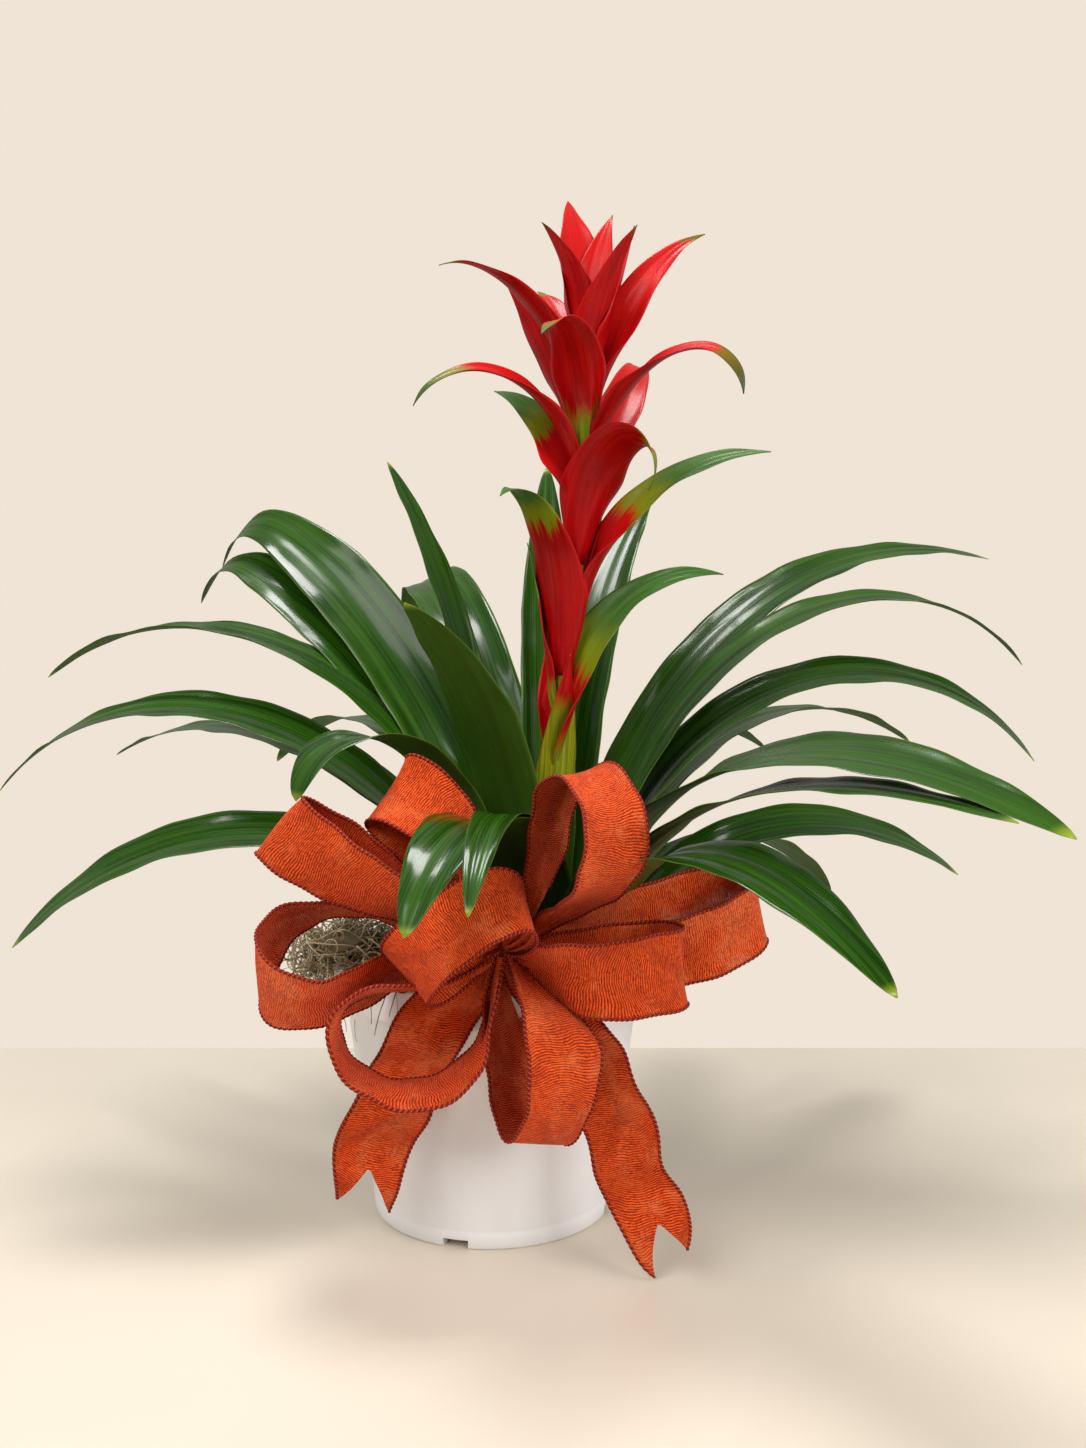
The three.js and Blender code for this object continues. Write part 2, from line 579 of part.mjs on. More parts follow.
const pot = potSolid()
const soil = soilSolid()
const spike = spikeSolid()
const leaves = trimmedLeaves(spike)
const loops = LOOPS.map(loopSolid)
const tails = TAILS.map(tailSolid)
const frontLoop = frontLoopSolid()
const pinch = pinchSolid()
const wire = tubeSolid(wirePath(), 2, 8, WIRE_RADIUS)
const moss = mossSolid([pot, soil, spike, ...leaves, ...loops, ...tails, frontLoop, pinch, wire])

place('pot', pot, 0xe4ddd4, 0.5)
place('growing_mix', soil, 0x3a2c20, 0.95)
place('spanish_moss', moss, 0x8d8468, 0.9)
place('flower_spike', spike, 0xb01a1c, 0.4)
LEAVES.forEach((leaf, rank) => place(leaf.name, leaves[rank], 0x2f5a24, 0.35))
LOOPS.forEach((loop, i) => place(loop.name, loops[i], 0xb8431c, 0.6))
place('bow_loop_front', frontLoop, 0xb8431c, 0.6)
TAILS.forEach((tail, i) => place(tail.name, tails[i], 0xb8431c, 0.6))
place('bow_pinch', pinch, 0xb8431c, 0.6)
place('bow_wire', wire, 0x6b6f60, 0.4, 0.8)

export default group
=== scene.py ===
"""The looks of a potted bromeliad: a rosette of strap leaves with a red bract spike, in a white pot
with moss and a wired ribbon bow. Metres, +Z up, the origin under the middle of the pot, the bow
towards -Y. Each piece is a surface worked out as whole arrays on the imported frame, which it follows.
"""

import math

import bpy
import numpy as np
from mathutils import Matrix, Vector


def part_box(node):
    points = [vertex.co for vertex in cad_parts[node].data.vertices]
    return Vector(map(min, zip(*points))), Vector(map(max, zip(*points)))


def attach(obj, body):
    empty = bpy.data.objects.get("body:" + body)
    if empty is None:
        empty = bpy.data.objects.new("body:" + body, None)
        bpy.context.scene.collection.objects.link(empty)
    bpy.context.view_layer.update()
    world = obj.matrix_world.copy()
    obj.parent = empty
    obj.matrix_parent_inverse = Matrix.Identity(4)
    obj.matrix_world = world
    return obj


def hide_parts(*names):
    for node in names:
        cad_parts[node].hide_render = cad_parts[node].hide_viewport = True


bl_info = {
    "name": "Potted bromeliad",
    "version": (1, 0, 0),
    "blender": (4, 5, 0),
    "location": "3D View > Sidebar > Bromeliad",
    "description": "Builds a potted bromeliad with a ribbon bow",
    "category": "Add Mesh",
}

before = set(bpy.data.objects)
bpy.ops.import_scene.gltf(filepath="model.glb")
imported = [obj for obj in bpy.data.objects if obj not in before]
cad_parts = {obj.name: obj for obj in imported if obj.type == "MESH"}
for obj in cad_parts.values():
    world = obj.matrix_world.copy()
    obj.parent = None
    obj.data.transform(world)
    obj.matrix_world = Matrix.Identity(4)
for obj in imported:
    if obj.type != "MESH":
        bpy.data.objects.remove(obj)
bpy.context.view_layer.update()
MM = 0.001
TURN = 2 * math.pi

# The rosette and the spike grow from one crown, sunk in the growing mix
CROWN = np.array((0.031, 0.004, 0.108))
SHEATH_FIRST_R = 0.0075
SHEATH_STEP = 0.00105
STEM_BASE_R = 0.0052
STEM_TIP_R = 0.0032
STEM_TOP = 0.452
STEM_LEAN = 0.0175
NODE_PITCH = 0.055

# Pot and growing mix
POT_TOP_R = 0.0825
POT_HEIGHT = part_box("pot")[1].z
POT_BASE_R = 0.063
RIM_BAND = 0.018
WALL = 0.0017
FLOOR_TOP = 0.0042
NOTCH_COUNT = 4
NOTCH_WIDTH = 0.013
NOTCH_HEIGHT = 0.0045
FIRST_NOTCH = math.radians(255)
MIX_TOP = 0.1185
CROWN_DIP = 0.012
CHIP_COUNT = 320

# Bow. A ribbon is gathered over the stations nearest to the pinch, into pleats where it is narrow
RIBBON_WIDTH = 0.038
PINCHED_WIDTH = 0.009
GATHER_STATIONS = 2.6
GATHERED_BELOW = 0.78
PLEAT_DEPTH = 0.0022
TAIL_WAVE = 0.0022
PINCH = np.array((0.008, -0.084, 0.155))
PINCH_R = 0.0092
PINCH_HALF = 0.0074
WIRE_R = 0.0004
WIRE_LAYS = 14


def course(az, rise, fall, bend, length, half, swing=0, roll=0, hook=0):
    """How a blade runs: where it heads and climbs at its foot, how it climbs at its tip and the power
    of the bend between, its length and half width, how far it swings round and rolls over, and how
    far its last fifth hooks down. Angles in degrees."""
    return dict(az=az, rise=rise, fall=fall, bend=bend, length=length, half=half, swing=swing,
                roll=roll, hook=hook)


def bract(z, tint, *run, **turns):
    """A bract's course, with the height z on the stem that it grows from and its tint: where along it
    the yellow-green foot ends, where the green tip starts, and how dark that tip is."""
    return dict(course(*run, **turns), z=z, tint=tint)


def loop(lean, seed, sheer, stations):
    """A bow loop, from the pinch out and back."""
    return dict(lean=lean, seed=seed, sheer=sheer, stations=stations, hangs=False, wave=0.0)


def tail(lean, seed, sheer, stations, notch_at, notch_depth):
    """A bow tail, from the pinch down to its notched end."""
    return dict(lean=lean, seed=seed, sheer=sheer, stations=stations, hangs=True, wave=TAIL_WAVE,
                notch_at=notch_at, notch_depth=notch_depth)


# Leaves from the innermost sheath to the outermost
LEAVES = {
    "leaf_inner_back": course(93, 88, 55, 1.2, 0.312, 0.015, swing=-4),
    "leaf_back_upright": course(77, 87, 36, 0.95, 0.336, 0.019, swing=-20),
    "leaf_inner_left": course(150, 78, 46, 2.5, 0.32, 0.011, swing=-20),
    "leaf_front_tall": course(231, 79, 30, 2.2, 0.24, 0.022, swing=5),
    "leaf_right_top": course(26, 83, -13, 1.3, 0.411, 0.017, swing=-10, roll=22),
    "leaf_left_back": course(120, 77, -42, 1.75, 0.424, 0.02, swing=-20, roll=-25, hook=60),
    "leaf_left_high": course(155, 76, 8, 1.4, 0.399, 0.021, swing=-23, roll=-45, hook=60),
    "leaf_right_high": course(2, 80, -50, 1.8, 0.39, 0.017, swing=12, roll=12),
    "leaf_front_small": course(257, 80, -53, 1.4, 0.245, 0.011, swing=6),
    "leaf_left_second": course(158, 82, 9, 0.95, 0.386, 0.019, swing=-25, roll=-35, hook=60),
    "leaf_left_long": course(167, 79, -35, 1.3, 0.407, 0.019, swing=-8, roll=-6),
    "leaf_right_middle": course(4, 85, -55, 1.4, 0.359, 0.018, swing=-7, roll=22),
    "leaf_front_folded": course(256, 84, -61, 1.35, 0.242, 0.022, swing=-12),
    "leaf_back_right": course(31, 86, -31, 1, 0.33, 0.016),
    "leaf_back_middle": course(104, 85, -29, 0.9, 0.323, 0.018),
    "leaf_right_broad": course(302, 89, -25, 0.75, 0.359, 0.02, swing=9, roll=18),
    "leaf_left_folded": course(203, 79, -78, 2.8, 0.233, 0.025, swing=30),
    "leaf_back_left": course(130, 78, -38, 1.05, 0.348, 0.017),
    "leaf_right_thin": course(58, 81, -27, 1, 0.3, 0.013, swing=-8),
    "leaf_left_arched": course(178, 74, -48, 1.25, 0.378, 0.019, swing=-15, roll=-18),
    "leaf_right_narrow": course(299, 90, -12, 0.6, 0.325, 0.014, swing=11, roll=10),
    "leaf_back_low": course(78, 88, -40, 0.8, 0.29, 0.018),
    "leaf_left_behind": course(152, 87, -23, 0.65, 0.382, 0.017, swing=-12, roll=-12),
    "leaf_right_low": course(7, 90, -39, 0.8, 0.249, 0.017, swing=-3, roll=22),
    "leaf_back_lowest": course(112, 88, -45, 0.8, 0.285, 0.018),
    "leaf_front_right": course(294, 89, -38, 0.74, 0.289, 0.018, swing=9, roll=10),
    "leaf_left_low": course(187, 87, -50, 0.75, 0.305, 0.019, swing=-2, roll=-22),
    "leaf_right_lowest": course(42, 88, -45, 0.65, 0.26, 0.017),
}
# Bracts up the stem
BRACTS = (
    bract(0.186, (0.74, 2, 0), 297, 87, 74, 1.4, 0.108, 0.015),
    bract(0.208, (0.2, 0.44, 0), 352, 92, -13, 1.9, 0.175, 0.019, swing=5, roll=52),
    bract(0.232, (0.14, 0.7, 0.1), 80, 86, 62, 1.4, 0.11, 0.012),
    bract(0.262, (0.16, 0.66, 0.1), 165, 88, 75, 1.2, 0.09, 0.012),
    bract(0.281, (-0.1, 0.6, 0.05), 238, 89, -33, 2.25, 0.133, 0.0185, swing=10, roll=-5),
    bract(0.305, (-0.1, 0.46, 0.1), 344, 80, -6, 1.25, 0.147, 0.0145, swing=-4, roll=52),
    bract(0.318, (0.1, 0.75, 0.2), 60, 84, 25, 1.3, 0.11, 0.014),
    bract(0.339, (-0.1, 0.8, 0.1), 302, 81, -138, 2.45, 0.117, 0.019, swing=12, roll=-36),
    bract(0.359, (-0.1, 0.58, 0.25), 163, 85, 14, 1.8, 0.09, 0.016, roll=-56),
    bract(0.356, (0.05, 0.8, 0.3), 105, 82, 15, 1.2, 0.105, 0.014),
    bract(0.363, (-0.1, 0.8, 0.1), 52, 64, -22, 2.3, 0.166, 0.016, swing=45, roll=19),
    bract(0.386, (-0.1, 0.72, 0.5), 205, 71, -64, 1.55, 0.119, 0.013, swing=-11, roll=-27),
    bract(0.4, (-0.1, 0.76, 0.7), 332, 56, -91, 2.15, 0.119, 0.013, swing=-15, roll=26),
    bract(0.397, (0.16, 0.86, 0.5), 262, 81, -42, 1.25, 0.116, 0.017, swing=-14, roll=9),
    bract(0.419, (0.1, 0.88, 0.5), 116, 78, 18, 1.3, 0.102, 0.013, swing=-8, roll=-14),
    bract(0.402, (0.05, 0.93, 0.7), 170, 71, 61, 1.4, 0.094, 0.0135, swing=9, roll=39),
    bract(0.42, (-0.1, 0.9, 0.8), 212, 73, -25, 1.45, 0.12, 0.0125, swing=17, roll=-7),
    bract(0.415, (0.05, 0.93, 0.7), 6, 75, 18, 2.45, 0.12, 0.0155, swing=10, roll=55),
    bract(0.432, (0.14, 0.95, 0.8), 9, 74, 77, 1.2, 0.086, 0.014),
    bract(0.427, (0.16, 0.95, 0.8), 302, 86, 47, 1.05, 0.087, 0.0155, swing=21, roll=-2),
    bract(0.445, (0.12, 0.93, 0.8), 226, 90, 38, 1.7, 0.072, 0.0145, swing=-21, roll=5),
    bract(0.452, (0.05, 0.97, 0.6), 102, 91, 39, 1.1, 0.099, 0.017, swing=-3, roll=11),
    bract(0.452, (0.05, 0.96, 0.8), 60, 85, 55, 1.3, 0.079, 0.0135, swing=-7, roll=19),
)


# Stations of each ribbon: the photograph's pixels of its two edges (across and down, across and
# down), and the depth of its middle in millimetres, which is less the nearer it is
RIBBONS = {
    "bow_loop_left": loop(1.0, 0.3, 0.75, (
        (497, 944, 500, 950, -84), (440, 931, 440, 938, -72), (385, 917, 390, 922, -63),
        (345, 905, 350, 914, -60), (312, 901, 318, 919, -62), (280, 906, 296, 936, -70),
        (262, 917, 283, 957, -76), (255, 936, 264, 988, -86), (258, 952, 257, 1006, -94),
        (272, 965, 263, 1020, -99), (293, 979, 284, 1030, -102), (318, 983, 310, 1031, -102),
        (345, 975, 345, 1018, -96), (380, 954, 385, 996, -84), (430, 948, 430, 972, -80),
        (490, 948, 495, 956, -86))),
    "bow_loop_upper_left": loop(1.0, 1.1, 0.1, (
        (500, 946, 504, 952, -84), (470, 925, 466, 935, -80), (429, 889, 412, 915, -76),
        (394, 857, 368, 900, -74), (368, 834, 330, 885, -72), (343, 815, 300, 868, -72),
        (315, 802, 272, 858, -76), (299, 795, 254, 850, -84), (306, 804, 255, 856, -91),
        (333, 827, 290, 883, -95), (368, 854, 330, 903, -101), (403, 878, 375, 914, -104),
        (435, 899, 420, 930, -100), (472, 928, 468, 945, -90), (497, 946, 499, 954, -87))),
    "bow_loop_top_left": loop(-1.0, 2.3, 0.1, (
        (503, 944, 499, 950, -88), (497, 900, 470, 905, -86), (486, 845, 450, 868, -84),
        (474, 805, 432, 848, -83), (461, 789, 413, 837, -83), (446, 774, 397, 827, -83),
        (429, 760, 378, 819, -81), (411, 752, 364, 819, -77), (404, 757, 366, 828, -71),
        (410, 775, 380, 843, -70), (430, 800, 400, 861, -66), (450, 830, 425, 884, -66),
        (475, 880, 460, 912, -70), (500, 935, 494, 945, -80))),
    "bow_loop_top_right": loop(1.0, 3.7, 0.3, (
        (508, 944, 512, 948, -86), (525, 900, 541, 903, -84), (524, 878, 553, 881, -82),
        (527, 854, 562, 858, -82), (531, 832, 569, 836, -83), (532, 806, 574, 806, -86),
        (536, 787, 583, 780, -91), (547, 777, 595, 763, -98), (562, 777, 611, 761, -106),
        (575, 789, 628, 776, -115), (583, 811, 642, 799, -123), (586, 832, 649, 827, -129),
        (585, 852, 648, 851, -131), (581, 873, 641, 872, -129), (574, 892, 627, 893, -122),
        (560, 906, 602, 907, -111), (540, 916, 560, 919, -100), (514, 943, 516, 950, -88))),
    "bow_loop_right": loop(1.0, 4.1, 0.15, (
        (508, 944, 510, 951, -86), (535, 936, 535, 960, -84), (560, 933, 558, 985, -82),
        (591, 928, 590, 1000, -81), (625, 923, 627, 1003, -82), (655, 921, 660, 1002, -85),
        (676, 922, 684, 1000, -90), (685, 927, 692, 1003, -98), (677, 932, 681, 1010, -106),
        (650, 936, 655, 1016, -113), (620, 942, 622, 1021, -117), (590, 946, 590, 1020, -118),
        (563, 946, 562, 1006, -115), (545, 945, 538, 985, -108), (525, 945, 521, 968, -100),
        (510, 945, 510, 954, -90))),
    "bow_loop_right_back": loop(1.0, 5.2, 0.9, (
        (508, 942, 510, 948, -80), (550, 922, 555, 945, -66), (591, 905, 600, 950, -54),
        (634, 888, 648, 955, -46), (680, 873, 697, 948, -42), (720, 864, 737, 940, -41),
        (746, 867, 762, 935, -44), (758, 876, 772, 938, -51), (752, 886, 764, 950, -58),
        (735, 899, 741, 966, -63), (712, 910, 712, 979, -66), (680, 919, 680, 988, -67),
        (640, 928, 640, 984, -68), (590, 936, 590, 966, -70), (545, 942, 548, 956, -74),
        (512, 944, 514, 952, -80))),
    "bow_loop_front": loop(-1.0, 6.0, 0.05, (
        (506, 940, 508, 955, -98), (520, 915, 528, 957, -106), (529, 893, 540, 945, -115),
        (520, 873, 537, 931, -123), (495, 865, 520, 930, -127), (465, 876, 499, 941, -129),
        (440, 891, 478, 954, -129), (415, 909, 455, 971, -127), (394, 928, 437, 990, -123),
        (379, 946, 427, 1005, -115), (380, 955, 431, 1010, -106), (392, 948, 446, 1003, -100),
        (420, 926, 470, 985, -97), (455, 906, 488, 960, -95), (490, 925, 500, 950, -93))),
    "bow_loop_bottom": loop(1.0, 7.4, 0.5, (
        (500, 950, 506, 952, -88), (487, 975, 508, 978, -90), (482, 1015, 520, 1015, -93),
        (485, 1055, 532, 1055, -95), (489, 1090, 542, 1090, -97), (495, 1120, 550, 1122, -100),
        (504, 1143, 559, 1147, -106), (517, 1140, 576, 1141, -114), (527, 1118, 589, 1118, -119),
        (529, 1090, 598, 1090, -122), (529, 1062, 602, 1062, -122), (527, 1037, 599, 1038, -119),
        (521, 1008, 578, 1012, -112), (515, 982, 542, 988, -102), (508, 958, 514, 962, -92))),
    "bow_loop_lower_left": loop(-1.0, 8.6, 0.25, (
        (497, 953, 500, 957, -90), (450, 985, 452, 989, -92), (412, 989, 414, 986, -102),
        (385, 990, 384, 985, -106), (361, 996, 357, 991, -108), (347, 1006, 340, 1001, -110),
        (340, 1022, 329, 1020, -112), (341, 1038, 327, 1047, -114), (348, 1055, 338, 1076, -115),
        (368, 1070, 360, 1097, -116), (397, 1081, 393, 1109, -116), (424, 1081, 425, 1113, -115),
        (447, 1069, 454, 1103, -113), (466, 1053, 475, 1084, -110), (481, 1035, 486, 1058, -107),
        (491, 1008, 493, 1020, -104), (495, 980, 498, 980, -95), (497, 957, 502, 957, -92))),
    "bow_tail_left": tail(0.5, 0.8, 0.65, (
        (494, 952, 502, 958, -92), (455, 965, 497, 985, -93), (420, 985, 484, 1013, -92),
        (393, 1023, 459, 1047, -90), (373, 1062, 442, 1076, -88), (359, 1097, 431, 1112, -87),
        (342, 1121, 418, 1138, -87), (333, 1150, 404, 1163, -85), (334, 1178, 396, 1190, -82),
        (338, 1200, 391, 1215, -81)), 0.05, 0.021),
    "bow_tail_right": tail(-0.5, 2.9, 0.45, (
        (500, 953, 513, 957, -92), (503, 985, 562, 985, -92), (540, 1030, 608, 1022, -90),
        (559, 1065, 625, 1060, -89), (574, 1105, 645, 1100, -88), (585, 1137, 659, 1133, -90),
        (596, 1165, 660, 1160, -88), (600, 1190, 672, 1184, -90), (616, 1223, 688, 1206, -94),
        (636, 1252, 694, 1229, -98), (655, 1278, 686, 1251, -103)), 0.05, 0.019),
}


# Moss lumps, as the frame has them: middle, half sizes and their share of the strands
MOSS_LUMPS = (
    dict(at=(-0.048, -0.020, 0.1315), size=(0.024, 0.024, 0.0095), share=1.4),
    dict(at=(-0.046, 0.022, 0.1305), size=(0.024, 0.024, 0.0085), share=0.8),
    dict(at=(-0.024, -0.045, 0.1285), size=(0.020, 0.014, 0.0065), share=0.9),
    dict(at=(-0.020, 0.046, 0.1285), size=(0.022, 0.013, 0.0065), share=0.6),
    dict(at=(0.012, 0.056, 0.127), size=(0.024, 0.010, 0.0055), share=0.5),
    dict(at=(-0.074, -0.012, 0.1425), size=(0.020, 0.024, 0.0095), share=1.6),
    dict(at=(-0.0925, -0.008, 0.134), size=(0.0065, 0.017, 0.013), share=0.8),
)
# A few loose wisps at the front of the rim and on the right
MOSS_WISPS = (
    dict(at=(-0.045, -0.066, 0.136), size=(0.012, 0.006, 0.004), share=1.0),
    dict(at=(0.062, -0.044, 0.134), size=(0.010, 0.010, 0.004), share=0.6),
    dict(at=(0.070, 0.020, 0.134), size=(0.008, 0.014, 0.004), share=0.5),
)
STRAND_COUNT = 900
WISP_COUNT = 26

# Stage: the photograph's camera, in its 1086 by 1448 frame, and soft lights
IMAGE_WIDTH = 1086
IMAGE_HEIGHT = 1448
FOCAL_PIXELS = 1332
CAMERA_X = 0.027
CAMERA_DISTANCE = 0.7
CAMERA_HEIGHT = 0.3
CAMERA_PITCH = math.radians(3.65)
FLOOR_HALF_WIDTH = 1.6
FLOOR_FRONT = 1.4
FLOOR_BACK = 0.262
AMBIENT = 0.35
LIGHT_TARGET = np.array((0.0, 0.0, 0.2))
# Name, place, size, power and colour
LIGHTS = (
    ("key", (-1.4, -1.8, 2.4), 1.9, 68.0, (1.0, 0.97, 0.94)),
    ("fill", (2.0, -1.5, 1.6), 1.5, 58.0, (1.0, 0.97, 0.94)),
    ("top", (-0.35, 0.3, 2.0), 0.6, 26.0, (1.0, 0.99, 0.97)),
)


def colour_setting(name, description, default):
    """A colour that a user can change."""
    return bpy.props.FloatVectorProperty(
        name=name, description=description, subtype="COLOR", size=3, min=0, max=1, default=default)


def length_setting(name, description, default, low=0.0, precision=4):
    """A length that a user can change."""
    return bpy.props.FloatProperty(
        name=name, description=description, default=default, min=low, precision=precision,
        subtype="DISTANCE", unit="LENGTH")


class PlantSettings(bpy.types.PropertyGroup):
    """Sizes and colours of the leaves and bracts."""

    leaf_thickness: length_setting("Leaf thickness", "Along the middle of a leaf", 0.0008, 0.0003)
    margin_wave: length_setting("Margin wave", "How far a leaf's edge waves", 0.0005)
    leaf_dark: colour_setting("Leaf shade", "Dark green between the veins", (0.005, 0.025, 0.001))
    leaf_light: colour_setting("Leaf light", "Green along the veins", (0.022, 0.085, 0.0025))
    leaf_under: colour_setting("Leaf underside", "Paler matt underside", (0.036, 0.088, 0.008))
    leaf_tip: colour_setting("Leaf tip", "Yellow-green of the tips", (0.22, 0.30, 0.02))
    bract_red: colour_setting("Bract red", "Waxy red of the bracts", (0.34, 0.0015, 0.002))
    bract_green: colour_setting("Bract green", "Green of the bracts' tips", (0.035, 0.115, 0.020))


class BowSettings(bpy.types.PropertyGroup):
    """Sizes and colours of the ribbon bow."""

    cloth_thickness: length_setting("Cloth thickness", "Of the ribbon's woven middle", 0.0004, 0.0001)
    crown: length_setting("Crown", "How far the cloth's middle stands out", 0.0012)
    edge_radius: length_setting("Edge radius", "Of the wired, overstitched edge", 0.0008, 0.0001, 5)
    stitch_pitch: length_setting("Stitch pitch", "Distance between two edge stitches", 0.0023, 0.0005)
    crinkle_pitch: length_setting("Crinkle pitch", "Distance between two creases", 0.0011, 0.0005, 5)
    # Lit and shaded copies of the ribbon's orange: painted light on the crests of threads and crinkles,
    # painted shade between them
    lit_orange: colour_setting("Orange", "Painted lit orange of the threads", (0.92, 0.112, 0.015))
    shaded_orange: colour_setting("Shaded orange", "Painted shade between the threads", (0.30, 0.017, 0.002))
    edge_dark: colour_setting("Edge maroon", "Dark edge stitches", (0.15, 0.006, 0.003))


class PotSettings(bpy.types.PropertyGroup):
    """Colours of the pot and what fills it."""

    plastic: colour_setting("Plastic", "White moulded plastic", (0.83, 0.84, 0.86))
    mix_dark: colour_setting("Growing mix", "Dark bark and peat", (0.030, 0.019, 0.012))
    moss_light: colour_setting("Moss", "Dry grey-olive moss", (0.65, 0.55, 0.36))


class StageSettings(bpy.types.PropertyGroup):
    """Colours of the floor and the backdrop."""

    floor_colour: colour_setting("Floor", "Plain pale floor", (0.66, 0.595, 0.505))
    backdrop: colour_setting("Backdrop", "Plain cream backdrop", (0.863, 0.776, 0.666))


def smooth(x):
    """0 below 0, 1 above 1 and 3x² - 2x³ between."""
    x = np.clip(x, 0.0, 1.0)
    return x * x * (3 - 2 * x)


def unit(v):
    """The vectors at length 1."""
    return v / np.maximum(np.linalg.norm(v, axis=-1, keepdims=True), 1e-12)


def xyz(x, y, z):
    """Points from three numbers or arrays that broadcast together."""
    return np.stack(np.broadcast_arrays(x, y, z), -1)


def circle(sides):
    """Even angles once round."""
    return np.linspace(0, TURN, sides, endpoint=False)


def heading(turn, climb):
    """Unit vectors that head round from +X by turn and climb from level by climb."""
    return xyz(np.cos(climb) * np.cos(turn), np.cos(climb) * np.sin(turn), np.sin(climb))


def turned(v, axis, angle):
    """Vectors turned about unit axes: v·cos + (axis × v)·sin + axis·(axis·v)·(1 - cos)."""
    angle = np.asarray(angle)[..., None]
    along = np.sum(axis * v, axis=-1, keepdims=True)
    return v * np.cos(angle) + np.cross(axis, v) * np.sin(angle) + axis * along * (1 - np.cos(angle))


def both_faces(upper, lower):
    """Rows across an upper face and back across the lower one, so that each row is a ring."""
    return np.concatenate([upper, lower[:, ::-1]], axis=1)


def tube(line, first, second, radius, sides):
    """Rings round a line: the point at angle a is line + radius·(first·cos a + second·sin a)."""
    spin = circle(sides)
    ahead = first[..., None, :] * (radius * np.cos(spin))[..., None]
    return line[..., None, :] + ahead + second[..., None, :] * (radius * np.sin(spin))[..., None]


def ring_faces(rings, sides):
    """Quads round a tube of rings, and a zigzag of quads that closes each end of an even ring."""
    ring, side = np.meshgrid(np.arange(rings - 1), np.arange(sides), indexing="ij")
    beside = (side + 1) % sides
    first = ring * sides
    wall = np.stack([first + side, first + beside, first + sides + beside, first + sides + side], -1)
    near = np.arange(sides // 2 - 1)
    cap = np.stack([sides - 1 - near, sides - 2 - near, near + 1, near], -1)
    return np.concatenate([wall.reshape(-1, 4), cap, (rings - 1) * sides + cap[:, ::-1]])


def part(points, faces, rank=0, **carried):
    """A share of a piece: its points, arrays of faces that count from the first of them, the rank of
    its material, and the vectors that its points carry, each of three numbers or arrays."""
    shape = points.shape[:-1]
    carried = {key: np.stack([np.broadcast_to(value, shape) for value in vector], -1).reshape(-1, 3)
               for key, vector in carried.items()}
    return dict(points=points.reshape(-1, 3), faces=faces, rank=rank, carried=carried)


def make_piece(name, node, parts, paints):
    """Parts joined as one smooth mesh on body root, which replaces the frame's node."""
    faces, ranks, start = [], [], 0
    for one in parts:
        for block in one["faces"]:
            faces += (start + block).tolist()
            ranks += [one["rank"]] * len(block)
        start += len(one["points"])
    mesh = bpy.data.meshes.new(name)
    mesh.from_pydata(np.concatenate([one["points"] for one in parts]).tolist(), [], faces)
    for key in parts[0]["carried"]:
        values = np.concatenate([one["carried"][key] for one in parts])
        layer = mesh.attributes.new(key, "FLOAT_VECTOR", "POINT")
        layer.data.foreach_set("vector", values.astype(np.float32).ravel())
    for paint in paints:
        mesh.materials.append(paint)
    mesh.polygons.foreach_set("material_index", np.array(ranks, np.int32))
    mesh.polygons.foreach_set("use_smooth", np.full(len(faces), True))
    mesh.update()
    piece = place_object(name, mesh)
    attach(piece, "root")
    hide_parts(node)
    return piece


def place_object(name, data):
    """An object on the scene's own collection."""
    made = bpy.data.objects.new(name, data)
    bpy.context.scene.collection.objects.link(made)
    return made


class Value:
    """A shader socket that takes Python arithmetic; each operation adds one Math node."""

    def __init__(self, paint, socket):
        self.paint = paint
        self.socket = socket

    def maths(self, operation, *values):
        """One Math node, fed with the values."""
        return self.paint.node("ShaderNodeMath", {"operation": operation}, dict(enumerate(values)))

    def __add__(self, other):
        return self.maths("ADD", self, other)

    def __radd__(self, other):
        return self.maths("ADD", other, self)

    def __sub__(self, other):
        return self.maths("SUBTRACT", self, other)

    def __rsub__(self, other):
        return self.maths("SUBTRACT", other, self)

    def __mul__(self, other):
        return self.maths("MULTIPLY", self, other)

    def __rmul__(self, other):
        return self.maths("MULTIPLY", other, self)

    def wave(self):
        """The sine, brought between 0 and 1."""
        return self.maths("SINE", self) * 0.5 + 0.5

    def size(self):
        """The value without its sign."""
        return self.maths("ABSOLUTE", self)


